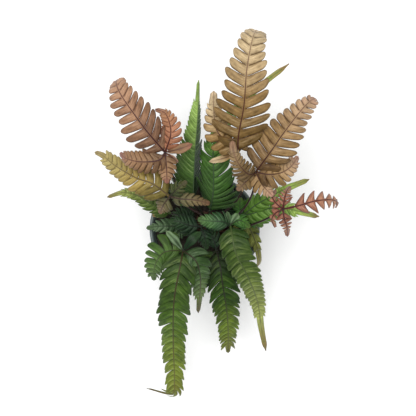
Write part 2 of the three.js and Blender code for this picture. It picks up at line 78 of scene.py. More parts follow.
# Soil. The bumps and knobs give how many there are in a millimetre, and how high they are.
SOIL_TOP = 80
SOIL_EDGE = 0.4
SOIL_RINGS = 34
SOIL_SEGMENTS = 110
SOIL_BUMPS = [(0.06, 1.1), (0.25, 0.8), (0.8, 0.5)]
GAP = 0.35
CRUMB_SIZES = (0.5, 0.6, 0.7, 0.9, 1.2, 1.7)
CRUMB_SHAPES = [(0.8, 1.7), (0.6, 1), (0.4, 0.9)]
CRUMB_LIFT = (-0.2, 0.5)
CRUMB_MARGIN = 1.5
CRUMB_BUMPS = (1.3, 0.25)
CRUMB_DEPTH = 3
CRUMB_SEED = 7

# Rhizome, with the turns of its scales in radians
CROWN = (4.5, 3.5)
RHIZOME_TOP = 83
RHIZOME_DEPTH = 8
RHIZOME_LUMPS = [(0, 1, 19, 16), (8, -5, 12, 9)]
RHIZOME_KNOBS = [(0.35, 0.6), (1.1, 0.3)]
SCALE_LENGTH = 3.2
SCALE_WIDTH = 0.45
SCALE_TIP = 0.02
SCALE_FLATNESS = 0.35
SCALE_SIZES = (0.7, 1.2)
SCALE_TILTS = (0.1, 0.7)
SCALE_RISE = 0.6
STIPE_SCALES = 24
STIPE_SCALE_SIZES = (0.6, 0.9)
STIPE_SCALE_TURN = 2.4
STIPE_SCALE_STEP = 0.45
STIPE_SCALE_REACH = 1.2
STIPE_SCALE_LEAN = 0.35
SCALE_SEED = 11
ANY_TURN = 6.28

# Stipes and pinnae, as the solids have them
STIPE_DEPTH = 2
STIPE_RISE = 2
WING_WIDTH = 1.3
STALK_WIDTH = 0.75
TAIL_ENDS = [(0, 1.0), (0.8, 0.75), (1, 0.12)]
TIP_WIDTH = 0.6
PLAIN_BLADE = [(0.0, 0.0), (0.25, 0.6), (0.55, 1.0), (0.85, 0.75), (1.0, 0.1)]
LOBE_CROWDING = 0.15
LOBE_SHOULDER = 0.78
LOBE_DROOP = 6
LOBE_VARIATION = 0.06

# Finer than the solids
CURVE_STEPS = 40
RIB_STEPS = 120
STIPE_STEPS = 28
STIPE_SIDES = 10
RIB_TUBE_STEPS = 30
RIB_TUBE_SIDES = 8
RIB_TUBE_END = 0.985
RIB_TAPER = 0.7
RIB_RADIUS = 0.62
PLAIN_RIB_RADIUS = 0.35
RIB_TIP_RADIUS = 0.18
RIB_LIFT = 0.12
KNOT_RADIUS = 1.3
LOBE_COLUMNS = 6
LOBE_ROWS = 11
WING_ROWS = 2
ROW_CROWDING = 1.5
STALK_ROWS = 3
TAIL_ROWS = 14
PLAIN_ROWS = 22
PLAIN_COLUMNS = 8
LOBE_FOLLOW = 0.45
LOBE_TILTS = (-0.1, 0.1)
LOBE_DROOPS = (-4, 5)
BULGE_FROM = 0.25
FREE_FROM = 0.4
# The painted shade on a lobe's back edge starts this far back from its middle, against its half width
PAINTED_SHADE_FROM = 0.4
VEIN_SLANT = 1.6
LOT_SPREAD = 0.3
STRIP_MARGIN = 0.3
TIP_FLAT = 0.985
SHEET_MERGE = 0.002
FROND_SEED = 100

# Stage, in metres
SOFTBOX_AT = (-0.12, 0.12, 1.7)
SOFTBOX_AIM = (0, 0, 0.15)
CAMERA_OVER = (0.0032, 0.02)


@dataclass
class Pinna:
    """One pinna of a frond, a leaflet with lobes to both sides of its rib."""
    rib: list  # the points that its rib passes after the fork
    reach: float  # how far its longest lobes reach
    lobes: int  # its pairs of lobes; with none it is one plain blade, as wide to each side as its reach
    tail: float = 0.22  # the share of its length that is a plain tail
    tail_width: float = 2.8  # the half width of that tail
    stalk: float = 2.8  # the length of bare stalk at the fork
    full: float = 0.3  # the share of the lobed stretch where lobes are longest
    end: float = 0.42  # how long the last lobes are, against the longest
    fold: float = -10  # the degrees that its halves fold up, or down if negative
    turn: float = 0  # the degrees that it is turned about its rib, right side down
    twist: float = 0  # the degrees that it twists on from fork to tip
    lean: tuple = None  # the degrees between lobes and rib at the fork and at the tip, if not its leaf's
    left_lean: tuple = None  # the same for the lobes on the left, where they differ
    slim: float = 1  # how wide its lobes are, against the usual ones
    left_slim: float = None  # the same for the lobes on the left, where they differ
    look: str = None  # its own look, if not its frond's
    right_look: str = None  # the look of the half right of its rib, where it differs
    painted_glint: float = 0  # how much painted highlight a plain blade has half way out


@dataclass
class Frond:
    """One frond, grown as one piece: a stipe, its fork and the pinnae that part there."""
    name: str
    leaf: str  # its kind of leaf, one of LEAF_FORMS
    look: str  # its colours, one of LOOKS
    foot: tuple  # where its stipe stands on the rhizome
    fork: tuple
    bends: list  # the points that its stipe bends through
    pinnae: list


@dataclass
class LeafForm:
    """The lobes of one kind of leaf."""
    stipe: str  # what its stipe is like
    loose: float  # how many degrees a lobe may stray from the lean of its row
    base_lobe: float  # how long the lobes next to the fork are, against the longest
    lean: tuple  # the degrees between lobes and rib, at the fork and at the tip
    sweep: float  # how strongly a lobe curves towards the tip
    front: tuple  # how far its front edge stands from its middle, against the spacing, at three places
    back: tuple  # the same for its back edge: at its root, half way and at its end
    taper: tuple  # where its end starts to round, and how much of the rounding is on the back edge
    camber: float  # its bulge, against its width
    shingle: float  # its tilt, against its width
    painted_ridge_light: float  # how much painted highlight lies along its ridge
    ridge_at: float  # where the ridge lies, from -1 at its back edge to 1 at its front edge
    ridge_width: float
    painted_edge_shade: float  # how much painted shade darkens its back edge
    crest_reach: float  # how many millimetres from the rib the painted highlight and edge shade last
    margin: float  # how strongly its margin is coloured
    ridge_growth: tuple = (1, 1)  # how strong the painted ridge highlight is at the fork and at the tip
    left_crest: float = 1  # how strong the painted highlight and shade are on the left, against the right


FRONDS = [
    Frond(
        "frond_bronze_tall", "bronze", "gold_bronze", foot=(7, 9), fork=(28, 66, 206),
        bends=[(10, 12, 104), (24, 21, 130), (35, 38, 152), (35, 54, 180)],
        pinnae=[
            Pinna(
                [(28, 78, 214), (32, 102, 231), (34, 130, 240), (39, 156, 234), (43, 165, 219),
                (43, 163, 203)], reach=25.2, lobes=14, tail=0.08, full=0.2, end=0.34, lean=(72, 52),
                left_lean=(88, 46), slim=1.06),
            Pinna(
                [(20, 74, 206), (11, 83, 208), (8, 99, 207), (8, 118, 197)], reach=13.5, lobes=7,
                tail_width=4, lean=(76, 60), slim=1.1),
            Pinna([(18, 62, 200), (4, 59, 192)], reach=3, lobes=0),
            Pinna([(35, 78, 194.5), (45, 89, 183)], reach=8, lobes=4, stalk=5),
        ]),
    Frond(
        "frond_bronze_right", "bronze", "brown_bronze", foot=(7, 3.5), fork=(43, 50, 200),
        bends=[(13, 6, 112), (30, 14, 140), (41, 31, 172)],
        pinnae=[
            Pinna(
                [(56, 68, 211), (65, 81, 210), (85, 106, 196), (94, 113, 186), (98, 111, 175)],
                reach=21, lobes=11, tail=0.14, end=0.32, fold=-12, lean=(68, 52), left_lean=(80, 54),
                slim=0.9, left_slim=1.08),
            # Painted shade: this pinna wears a darker copy of the frond's look.
            Pinna(
                [(37, 48, 206), (27, 58, 218), (24, 66, 221), (23, 75, 218)], reach=11, lobes=8,
                tail=0.24, tail_width=3.4, fold=8, slim=1.1, look="deep_bronze"),
            Pinna(
                [(53, 48, 203), (63, 49, 202), (72, 54, 196), (80, 64, 184)], reach=13, lobes=8,
                tail=0.12, turn=-10, twist=-12, slim=1.1),
            # Painted shade: this pinna wears a darker copy of the frond's look.
            Pinna(
                [(36, 43, 196), (28, 35, 180)], reach=10, lobes=4, tail=0.16, slim=1.1,
                look="deep_bronze"),
            Pinna([(49, 39, 197), (58, 30, 191)], reach=10.5, lobes=5, tail=0.14, slim=1.1),
        ]),
    Frond(
        "frond_bronze_left", "bronze", "rose_bronze", foot=(-4.5, 12), fork=(-33, 67, 190),
        bends=[(-8.5, 16, 115), (-19.5, 27, 147), (-27, 47, 169)],
        pinnae=[
            Pinna(
                [(-47, 83, 202), (-56, 95, 204), (-71, 117, 195), (-75, 127, 185), (-74, 131, 172),
                (-69, 128, 160)], reach=20, lobes=12, tail=0.1, end=0.3, fold=-12, lean=(60, 48),
                left_lean=(86, 58), slim=0.98, left_slim=0.86),
            Pinna(
                [(-28, 82, 197), (-29, 91, 195), (-33, 100, 189), (-42, 105, 178)], reach=11.5, lobes=8,
                turn=-13, twist=-15, slim=1.1, look="rust_bronze"),
            Pinna(
                [(-37, 61, 191), (-53, 59, 190), (-66, 62, 184), (-73, 67, 174)], reach=12.5, lobes=9,
                tail=0.12, slim=1.1, look="umber_bronze"),
            Pinna([(-20, 70, 193), (-10, 74, 191)], reach=4.3, lobes=0, look="umber_bronze"),
            Pinna([(-27, 63, 187), (-22, 59, 182)], reach=1.8, lobes=0),
            Pinna(
                [(-32, 54, 188), (-32, 41, 178)], reach=10.5, lobes=5, tail=0.14, slim=1.1,
                look="umber_bronze"),
        ]),
    Frond(
        "frond_red_young", "red", "young_red", foot=(14.5, -4), fork=(67, 19, 186),
        bends=[(15.2, -4, 91), (22, -3, 105), (40, 4, 137), (55, 11, 168)],
        pinnae=[
            Pinna(
                [(80, 22, 190), (94, 26, 191), (107, 27, 187), (115, 25, 176), (116, 21, 162)],
                reach=13.5, lobes=6, tail=0.14, stalk=10, fold=-32, lean=(66, 56), slim=0.42),
            Pinna([(68, 28, 189), (70, 34, 186), (74, 39, 176)], reach=9, lobes=5, fold=-30, slim=0.7),
            Pinna([(68, 11, 185), (71, 4, 177), (73, -5, 161)], reach=9, lobes=5, fold=-30, slim=0.7),
            Pinna([(61, 24, 186), (58, 30, 181), (61, 36, 172)], reach=6, lobes=3, fold=-30, slim=0.6),
            Pinna([(61, 16, 185), (58, 11, 180), (61, 3, 168)], reach=6, lobes=3, fold=-30, slim=0.6),
        ]),
    Frond(
        "frond_olive_left", "olive", "olive", foot=(2, 3.5), fork=(-30, 30, 165),
        bends=[(1, 6.5, 112), (-3, 14, 140)],
        pinnae=[
            Pinna(
                [(-45, 41, 171), (-59, 46, 168), (-81, 59, 152), (-91, 67, 142), (-100, 71, 128)],
                reach=18, lobes=11, tail=0.2, full=0.15, slim=1.08),
            Pinna([(-23, 37, 173), (-15, 43, 176)], reach=9, lobes=3, look="dusky_olive"),
            Pinna(
                [(-21, 28, 168), (-9, 27, 168), (5, 24, 158)], reach=8, lobes=6, tail=0.12,
                look="dusky_bronze"),
            Pinna([(-35, 24, 162), (-40, 15, 148)], reach=11, lobes=4, look="dusky_bronze"),
        ]),
    Frond(
        "frond_olive_small", "olive", "olive_green", foot=(18.5, -1), fork=(38, 7, 102),
        bends=[(22, 1, 88), (30, 4, 98)],
        pinnae=[
            Pinna(
                [(43, -1, 107), (49, -16, 103), (52, -30, 90), (51, -37, 74)], reach=9, lobes=3,
                tail=0.5),
            Pinna([(31, 0, 100), (27, -9, 91)], reach=6, lobes=2),
            Pinna([(47, 8, 101), (55, 4, 97)], reach=6, lobes=2),
        ]),
    Frond(
        "frond_green_left", "green", "lime_green", foot=(-6, 2), fork=(-30, 15, 125),
        bends=[(-9, 4, 110), (-18, 9, 122)],
        pinnae=[
            Pinna(
                [(-48, 24, 138), (-60, 31, 138), (-73, 34, 132), (-90, 30, 116)], reach=11, lobes=9,
                tail=0.28, tail_width=2.3, turn=-8, twist=-14),
            Pinna([(-41, 17, 126), (-48, 13, 118)], reach=8, lobes=3),
        ]),
    Frond(
        "frond_green_up_left", "green", "fresh_green", foot=(0, 10), fork=(-10, 27, 132),
        bends=[(-1, 13, 105), (-5, 20, 122)],
        pinnae=[
            # Its right half wears a darker copy of its look: painted shade where that half turns away from
            # the light.
            Pinna(
                [(-9.5, 42, 150), (-8, 72, 166), (-6, 100, 162), (-5, 135, 140)], reach=27, lobes=20,
                tail=0.2, tail_width=2.6, full=0.05, end=0.22, fold=-38, turn=25, slim=1.15,
                right_look="shaded_green"),
            Pinna([(-20, 31, 132), (-32, 42, 126)], reach=12, lobes=5),
        ]),
    Frond(
        "frond_green_up_mid", "green", "deep_green", foot=(4, 14), fork=(5, 17, 130),
        bends=[(4, 14, 105), (4, 14, 120)],
        pinnae=[
            Pinna(
                [(8, 36, 162), (8, 55, 172), (8, 72, 170), (19, 98, 156), (52, 132, 132), (78, 153, 118)],
                reach=27, lobes=21, tail=0.34, tail_width=3.5, full=0.1, end=0.15, fold=-20, turn=-6,
                twist=46),
        ]),
    Frond(
        "frond_green_right", "green", "bright_green", foot=(15.5, 2.5), fork=(35, 13, 118),
        bends=[(20, 4, 98), (27, 8, 110)],
        pinnae=[
            Pinna(
                [(44, 15, 126), (56, 19, 131), (70, 20, 130), (107, 12, 106)], reach=17, lobes=9,
                tail=0.34, tail_width=3.4),
            Pinna(
                [(47, 23, 132), (59, 30, 141), (70, 36, 144), (95, 46, 132)], reach=12, lobes=7,
                tail=0.34, tail_width=3.2),
            Pinna([(45, 7, 114), (55, 3, 104)], reach=8, lobes=3, look="mid_green"),
            Pinna([(32.5, 20.5, 122), (33, 29.5, 124)], reach=10, lobes=4, stalk=4, look="mid_green"),
        ]),
    Frond(
        "frond_green_low_right", "green", "lime_green", foot=(9, -1.5), fork=(23, 5, 150),
        bends=[(12, -1, 108), (19, 3, 134)],
        pinnae=[
            Pinna(
                [(25, -7, 157), (27, -18, 157), (39, -42, 143), (49, -67, 116), (54, -94, 88),
                (60, -120, 62)], reach=15.5, lobes=18, tail=0.32, tail_width=3.3, lean=(68, 52)),
            Pinna(
                [(15, 8, 157), (5, 8.5, 156), (-6, 10, 149)], reach=11, lobes=8, tail=0.12,
                look="teal_green"),
            Pinna([(31, 9, 154), (41, 3, 147)], reach=11, lobes=4, look="mid_green"),
            Pinna([(20, 17, 156)], reach=2.4, lobes=0, look="grey_green"),
            Pinna([(30, 15, 156)], reach=4, lobes=0, look="grey_green", painted_glint=0.3),
        ]),
    Frond(
        "frond_green_low_mid", "green", "dark_green", foot=(5, -5.5), fork=(11, -19, 118),
        bends=[(6, -8, 98), (9, -13, 112)],
        pinnae=[
            Pinna(
                [(14, -31, 124), (16, -46, 123), (20, -71, 110), (22, -90, 94), (23, -122, 62)],
                reach=20.5, lobes=19, tail=0.08, end=0.52, lean=(52, 38)),
            Pinna([(21, -30, 117), (33, -43, 102)], reach=10, lobes=3),
            Pinna([(4, -29, 114), (-1, -44, 100)], reach=12, lobes=4),
            Pinna([(9, -11, 122), (3, 3, 122)], reach=11, lobes=4, look="blue_green"),
        ]),
    Frond(
        "frond_green_low_left", "green", "leaf_green", foot=(-2, -4), fork=(-19, -18, 150),
        bends=[(-5, -4, 110), (-12, -9, 140)],
        pinnae=[
            Pinna(
                [(-21.5, -32, 157), (-26.7, -60, 151), (-28.8, -105, 118), (-29, -146, 84),
                (-31, -160, 73), (-57, -157, 62)], reach=19.5, lobes=21, tail=0.14, tail_width=2.4,
                end=0.7, lean=(56, 34)),
            Pinna(
                [(-28.5, -17.5, 156), (-35.5, -19, 157), (-41.5, -25.5, 151), (-45.5, -36, 140),
                (-46, -46, 128)], reach=16.5, lobes=8, tail=0.1, turn=-32, twist=-32, lean=(84, 52),
                left_lean=(52, 40), slim=0.92, look="fan_green"),
            Pinna(
                [(-8, -26, 155), (-4, -39, 146), (-4, -55, 126), (-6, -79, 96)], reach=14.5, lobes=8,
                tail=0.28, turn=18, slim=1.06, look="cool_green"),
            Pinna([(-26, -8, 158), (-34, 0, 154)], reach=3.8, lobes=0, look="grey_green", painted_glint=0.5),
            Pinna([(-10, -7, 157), (-3, -1, 152)], reach=4.4, lobes=0, look="blue_green"),
        ]),
    # The shade fronds wear a very dark look, partly their own colour and partly painted shade.
    Frond(
        "frond_shade_centre", "shade", "blue_green", foot=(-4, 7), fork=(-10, 8, 104),
        bends=[(-5.5, 8, 90), (-8, 8, 98)],
        pinnae=[
            Pinna([(-18, 12, 108), (-31, 15, 104)], reach=14, lobes=5),
            Pinna([(-15, 2, 109), (-20, -6, 107)], reach=5, lobes=0),
            Pinna([(-15, 16, 107), (-18, 26, 105)], reach=9, lobes=4),
        ]),
    Frond(
        "frond_shade_left", "shade", "grey_green", foot=(-7, -3), fork=(-19, 4, 98),
        bends=[(-9, -2, 88), (-14, 1, 95)],
        pinnae=[
            Pinna([(-30, 3, 103), (-42, 3, 105), (-55, 1, 98)], reach=11, lobes=5),
            Pinna([(-25, -3, 100), (-32, -11, 94)], reach=9, lobes=3),
        ]),
    Frond(
        "frond_shade_right", "shade", "blue_green", foot=(11.5, 6.5), fork=(15, 17, 98),
        bends=[(13, 9, 88), (14, 13, 95)],
        pinnae=[
            Pinna([(24, 26, 108), (34, 36, 104)], reach=15, lobes=5),
            Pinna([(29, 14, 103), (43, 14, 97)], reach=9, lobes=4),
            Pinna([(11, 25, 106), (5, 37, 102)], reach=13, lobes=4),
        ]),
    Frond(
        "frond_shade_front", "shade", "blue_green", foot=(0.5, -1.5), fork=(-3, 3, 130),
        bends=[(0, -1, 98), (-2, 1, 116)],
        pinnae=[
            Pinna([(-13, 4, 132), (-24, 8, 134), (-34, 8, 129)], reach=11.5, lobes=6),
            Pinna([(4, 5, 132), (12, 3, 128)], reach=9.5, lobes=4),
            Pinna([(0, -6, 132), (2, -18, 125)], reach=9.5, lobes=4),
        ]),
]

LEAF_FORMS = {
    "bronze": LeafForm(
        stipe="dark brown stipe", loose=2, base_lobe=0.8, lean=(68, 52), sweep=0.22,
        front=(0.495, 0.46, 0.38), back=(0.495, 0.47, 0.43), taper=(0.76, 0.56), camber=0.12,
        shingle=0.1, painted_ridge_light=0.16, ridge_at=0.1, ridge_width=0.8, painted_edge_shade=0.3, crest_reach=40,
        margin=0.85),
    "red": LeafForm(
        stipe="dark brown stipe", loose=4, base_lobe=0.9, lean=(66, 50), sweep=0.2,
        front=(0.44, 0.4, 0.3), back=(0.44, 0.45, 0.42), taper=(0.6, 0.6), camber=0.2, shingle=0.0,
        painted_ridge_light=0.4, ridge_at=0.1, ridge_width=0.7, painted_edge_shade=0.3, crest_reach=40, margin=1.0),
    "olive": LeafForm(
        stipe="dark brown stipe", loose=3, base_lobe=0.9, lean=(60, 48), sweep=0.3,
        front=(0.46, 0.46, 0.4), back=(0.46, 0.5, 0.48), taper=(0.72, 0.6), camber=0.14, shingle=0.12,
        painted_ridge_light=0.2, ridge_at=0.2, ridge_width=0.7, painted_edge_shade=0.4, crest_reach=25, margin=0.6),
    "green": LeafForm(
        stipe="dark green stipe", loose=4, base_lobe=1.0, lean=(56, 42), sweep=0.35,
        front=(0.49, 0.52, 0.46), back=(0.49, 0.54, 0.52), taper=(0.76, 0.8), camber=0.05, shingle=0.05,
        painted_ridge_light=0.7, ridge_growth=(0.5, 1.2), ridge_at=0.6, ridge_width=0.5, painted_edge_shade=0.85,
        crest_reach=14, left_crest=0.5, margin=0.25),
    "shade": LeafForm(
        stipe="dark green stipe", loose=5, base_lobe=1.0, lean=(58, 46), sweep=0.35,
        front=(0.48, 0.48, 0.4), back=(0.48, 0.54, 0.5), taper=(0.6, 0.66), camber=0.18, shingle=0.16,
        painted_ridge_light=0.5, ridge_growth=(0.8, 1.0), ridge_at=0.5, ridge_width=0.6, painted_edge_shade=0.5,
        crest_reach=14, left_crest=0.8, margin=0.25),
}

# The look of each leaf, sRGB hex: its blade next to the fork, half way, near the tip and at the tip,
# its margin and its underside, its rib at the fork and at the tip, and the painted highlight on the
# ridge of its lobes.
LOOKS = {
    "gold_bronze": "523E14 8C6F42 BDA883 C8B292 54381C 8A7C52 4A221C A5876A DCC8A6",
    "brown_bronze": "503A1C 8C7046 B29474 B48A78 4C301E 8A7C52 40201A 94705A D2B898",
    "rose_bronze": "543927 906C50 AE886C AE8070 482822 87754F 3C1A1E 7F564A B59C7F",
    "rust_bronze": "76482E 96664A A47A58 A2765E 5A2C20 876E50 401A1A 7F4A3C CCA086",
    "dusky_bronze": "303A21 524F30 766445 76553D 3A2C20 706A4C 3E2A26 6A4A3C A08A6C",
    "young_red": "744436 8A5A44 A67C62 8C5A46 3E1814 8C6C5A 401418 5A2422 C8A88E",
    "olive": "514D1A 968144 A69860 9C8850 6A5430 88845A 5A4A34 94854E CCC08A",
    "olive_green": "46521F 646C2C 8E8A4A 9A8448 4A4A24 7A8452 4A4A2C 8A8450 B4B078",
    "dusky_olive": "293219 363F1E 474B26 544D31 28261A 626448 2E2822 5A4E3A 84845C",
    "leaf_green": "1C2F0E 446119 768426 5A4628 223A12 667C44 3E2C1E 7A6238 A9B872",
    "fresh_green": "284315 416024 8CAA56 86A04E 2E4A18 6C8248 3E5234 88A052 B4C488",
    "deep_green": "223F14 3C5F22 A5D563 A68156 1A3412 607A40 33482C 7C964C 8CA86C",
    "lime_green": "1B340C 4A5D20 A0A85A 7E5A34 2E4818 6C8248 4A5830 8A8248 B8BE80",
    "dark_green": "101B08 254207 617518 6E6A2C 1A2C0C 5C7038 221C14 5E562A 7E9446",
    "fan_green": "2F4217 405C23 4E682F 4E6234 284418 5C7840 3A3C22 5A7038 90AC6C",
    "mid_green": "214116 2D551C 436D27 5C7434 162C10 587440 2A321E 4A5E30 6E8A50",
    "teal_green": "182E1A 2A4A28 486A38 5A7444 162A14 5A7248 223020 4A6040 86A07A",
    "cool_green": "1A2D14 365420 62783A 5E4E34 1A2E12 5E7444 332A1E 6A6038 9CB48A",
    # Very dark blue-green: partly the leaves' own colour, partly painted shade in the crowded middle of
    # the plant.
    "blue_green": "102313 162D17 253C20 364E2D 10200E 4C6444 1C201A 34452F 4E6648",
    # A darker copy of fresh_green: painted shade for a half that turns down, away from the light.
    "shaded_green": "102313 142A16 425F2A 86A04E 10200E 4C6444 1C201A 4E5A34 6E8A50",
    "grey_green": "2B4828 40583A 546C4A 586E48 203418 5C7454 2C3226 4A5A3C A4AE94",
    "bright_green": "3A5E1C 5E852F B7D66A 8A6A44 2E4A18 6C8248 3E5234 88A052 B4C488",
    "umber_bronze": "4A3422 7E6142 987658 8E5C50 482822 87754F 3C1A1E 7F564A B09A7C",
    # A darker copy of brown_bronze: painted shade for pinnae that lie in shadow.
    "deep_bronze": "3E2E15 6A5530 877152 896A55 4C301E 8A7C52 40201A 94705A A08E6D",
}


def hex_colour(text):
    """An sRGB hex colour as linear RGBA."""
    channels = [int(text[i:i + 2], 16) / 255 for i in (0, 2, 4)]
    linear = [c / 12.92 if c <= 0.04045 else ((c + 0.055) / 1.055) ** 2.4 for c in channels]
    return (*linear, 1.0)


def lerp(start, end, share):
    return start + (end - start) * share


def smooth(share):
    share = min(max(share, 0.0), 1.0)
    return share * share * (3 - 2 * share)


def roughness(spot, bumps):
    """How far a rough surface stands out at a place, for rows of bumps in a millimetre and height."""
    return sum(noise.noise(spot * fineness) * height for fineness, height in bumps)


def even_curve(points, steps):
    """Points at even steps of length along a centripetal Catmull-Rom curve, and its length."""
    points = [Vector(point) for point in points]
    ends = [2 * points[0] - points[1], *points, 2 * points[-1] - points[-2]]
    fine = [points[0]]
    for before, start, end, after in zip(ends, ends[1:], ends[2:], ends[3:]):
        gaps = [max((q - p).length ** 0.5, 1e-4) for p, q in ((before, start), (start, end), (end, after))]
        leave = (start - before) / gaps[0] - (end - before) / (gaps[0] + gaps[1]) + (end - start) / gaps[1]
        arrive = (end - start) / gaps[1] - (after - start) / (gaps[1] + gaps[2]) + (after - end) / gaps[2]
        leave, arrive = leave * gaps[1], arrive * gaps[1]
        for i in range(1, CURVE_STEPS + 1):
            t = i / CURVE_STEPS
            fine.append(
                (2 * t ** 3 - 3 * t ** 2 + 1) * start + (t ** 3 - 2 * t ** 2 + t) * leave
                + (3 * t ** 2 - 2 * t ** 3) * end + (t ** 3 - t ** 2) * arrive)
    lengths = [0.0]
    for p, q in zip(fine, fine[1:]):
        lengths.append(lengths[-1] + (q - p).length)
    even, place = [], 0
    for i in range(steps + 1):
        target = lengths[-1] * i / steps
        while place < len(fine) - 2 and lengths[place + 1] < target:
            place += 1
        step = lengths[place + 1] - lengths[place]
        even.append(fine[place].lerp(fine[place + 1], min((target - lengths[place]) / step, 1.0)))
    return even, lengths[-1]


class Line:
    """A middle line with its heading, right side and up, carried along without twisting."""

    def __init__(self, points, turn=0, twist=0):
        self.at, self.length = even_curve(points, RIB_STEPS)
        chords = [self.at[min(i + 1, RIB_STEPS)] - self.at[max(i - 1, 0)] for i in range(RIB_STEPS + 1)]
        self.on = [chord.normalized() for chord in chords]
        heading = self.at[-1] - self.at[0]
        side = Vector((heading.x, heading.y, 0)).cross(UP)
        side = side.normalized() if side.length > 1e-6 else Vector((1, 0, 0))
        last = self.on[0]
        side = (side - side.dot(last) * last).normalized()
        side.rotate(Quaternion(last, math.radians(turn)))
        self.side = []
        for i, on in enumerate(self.on):
            side.rotate(last.rotation_difference(on))
            side = (side - side.dot(on) * on).normalized()
            self.side.append(Quaternion(on, math.radians(twist * i / RIB_STEPS)) @ side)
            last = on

    def frame(self, mark):
        """The point, heading, right side and up at a share of the length."""
        place = min(max(mark, 0.0), 1.0) * RIB_STEPS
        i = min(int(place), RIB_STEPS - 1)
        share = place - i
        on = self.on[i].lerp(self.on[i + 1], share).normalized()
        side = self.side[i].lerp(self.side[i + 1], share).normalized()
        return self.at[i].lerp(self.at[i + 1], share), on, side, side.cross(on)


def lobe_length(shape, base_lobe, share):
    rise = math.sin(min(share / shape.full, 1) * math.pi / 2)
    fall = max(0.0, (share - shape.full) / (1 - shape.full))
    return shape.reach * lerp(base_lobe, 1, rise) * lerp(1, shape.end, fall)


def piecewise(points, place):
    """The value at place of a smooth run through (place, value) pairs."""
    for (start, low), (end, high) in zip(points, points[1:]):
        if place <= end:
            return lerp(low, high, smooth((place - start) / (end - start)))
    return points[-1][1]


def bent(values, t):
    """A value that goes from the first of three through the second, half way, to the third."""
    return lerp(values[0], values[1], smooth(2 * t)) if t < 0.5 else lerp(values[1], values[2], 2 * t - 1)


def edges_of(verts):
    """The edges at those vertices, each once and in the same order each run."""
    return list(dict.fromkeys(edge for v in verts for edge in v.link_edges))


def grid_places(bm, columns, rows):
    """A new grid's vertices with the column and row of each."""
    made = bmesh.ops.create_grid(bm, x_segments=columns, y_segments=rows, size=1)["verts"]
    return {v: (round((v.co.x + 1) / 2 * columns), round((v.co.y + 1) / 2 * rows)) for v in made}


class Sheet:
    """A leaf blade under way: a bmesh in millimetres with what its materials read.

    place holds the share along the pinna, 1 at the margin, 1 at the rib and 1 on the underside;
    leaf_mm holds the millimetres along a vein, across the lobe and along it; crest holds how much
    paler or darker than its look the place is painted: a random tone for each lobe, with painted
    highlight along the lobe's ridge and painted shade on its back edge.
    """

    def __init__(self):
        self.bm = bmesh.new()
        self.place = self.bm.verts.layers.float_color.new("place")
        self.leaf_mm = self.bm.verts.layers.float_vector.new("leaf_mm")
        self.crest = self.bm.verts.layers.float.new("crest")

    def put(self, vert, co, place, across, along, crest=0.0):
        vert.co = co
        vert[self.place] = (*place, 0.0)
        vert[self.leaf_mm] = (along - VEIN_SLANT * abs(across), across, along)
        vert[self.crest] = crest

    def thicken(self, line, thickness):
        """Joins the sheet's pieces, gives it a wall, half to each side, and marks its underside."""
        bm = self.bm
        lift = bm.verts.layers.float_vector.new("lift")
        bmesh.ops.remove_doubles(bm, verts=bm.verts[:], dist=SHEET_MERGE)
        bmesh.ops.recalc_face_normals(bm, faces=bm.faces[:])
        bm.normal_update()
        for vert in bm.verts:
            vert[lift] = vert.normal * (thickness / 2)
        made = bmesh.ops.extrude_face_region(bm, geom=bm.faces[:], use_keep_orig=True)["geom"]
        for item in made:
            if isinstance(item, bmesh.types.BMVert):
                item[lift] = -item[lift]
        for vert in bm.verts:
            share, edge, rib, _ = vert[self.place]
            up = line.frame(share)[3]
            vert.co += vert[lift]
            vert[self.place] = (share, edge, rib, 1.0 if vert[lift].dot(up) < 0 else 0.0)
        bm.verts.layers.float_vector.remove(lift)
        bmesh.ops.recalc_face_normals(bm, faces=bm.faces[:])
        for face in bm.faces:
            face.smooth = True


def folded(line, mark, out, fold):
    """The place that far to the right of a line, or left if negative, where the halves fold up."""
    at, _, right, up = line.frame(mark)
    angle = math.radians(fold)
    return at + right * (out * math.cos(angle)) + up * (abs(out) * math.sin(angle))


def lobe_tone_and_painted_light(form, share, across, along, lot, right):
    """How much paler or darker than its look a place on a lobe is painted: a random tone for each
    lobe, a painted highlight along its ridge and painted shade on its back edge.
    """
    side = 2 * across - 1
    height = form.painted_ridge_light * lerp(*form.ridge_growth, share)
    pale = height * max(0.0, 1 - abs(side - form.ridge_at) / form.ridge_width)
    dark = form.painted_edge_shade * max(0.0, -PAINTED_SHADE_FROM - side) / (1 - PAINTED_SHADE_FROM)
    crest = (pale - dark) * (1 if right else form.left_crest) * max(0.0, 1 - along / form.crest_reach)
    return LOT_SPREAD * (lot - 0.5) + crest


def cut_half(sheet, lobes, side):
    """The grid of one half of a blade, cut between its lobes: its vertices with column and row."""
    columns = lobes * (LOBE_COLUMNS + 1) - 1
    places = grid_places(sheet.bm, columns, WING_ROWS + LOBE_ROWS)
    faces = list(dict.fromkeys(f for v in places for f in v.link_faces))
    for face in faces:
        face.material_index = 1 if side > 0 else 0
    cuts = [
        face for face in faces
        if min(places[v][1] for v in face.verts) >= WING_ROWS
        and min(places[v][0] for v in face.verts) % (LOBE_COLUMNS + 1) == LOBE_COLUMNS
    ]
    bmesh.ops.delete(sheet.bm, geom=cuts, context="FACES")
    return {vert: place for vert, place in places.items() if vert.is_valid}


def lobe_edges(form, t, width):
    """How far along the rib a lobe's back and front edges stand at a share of its length."""
    back = -bent(form.back, t) * width
    front = bent(form.front, t) * width
    start, on_back = form.taper
    end = min(max(0.0, (t - start) / (1 - start)), TIP_FLAT)
    closing = (front - back) * (1 - math.sqrt(1 - end ** 2))
    return back + closing * on_back, front - closing * (1 - on_back)


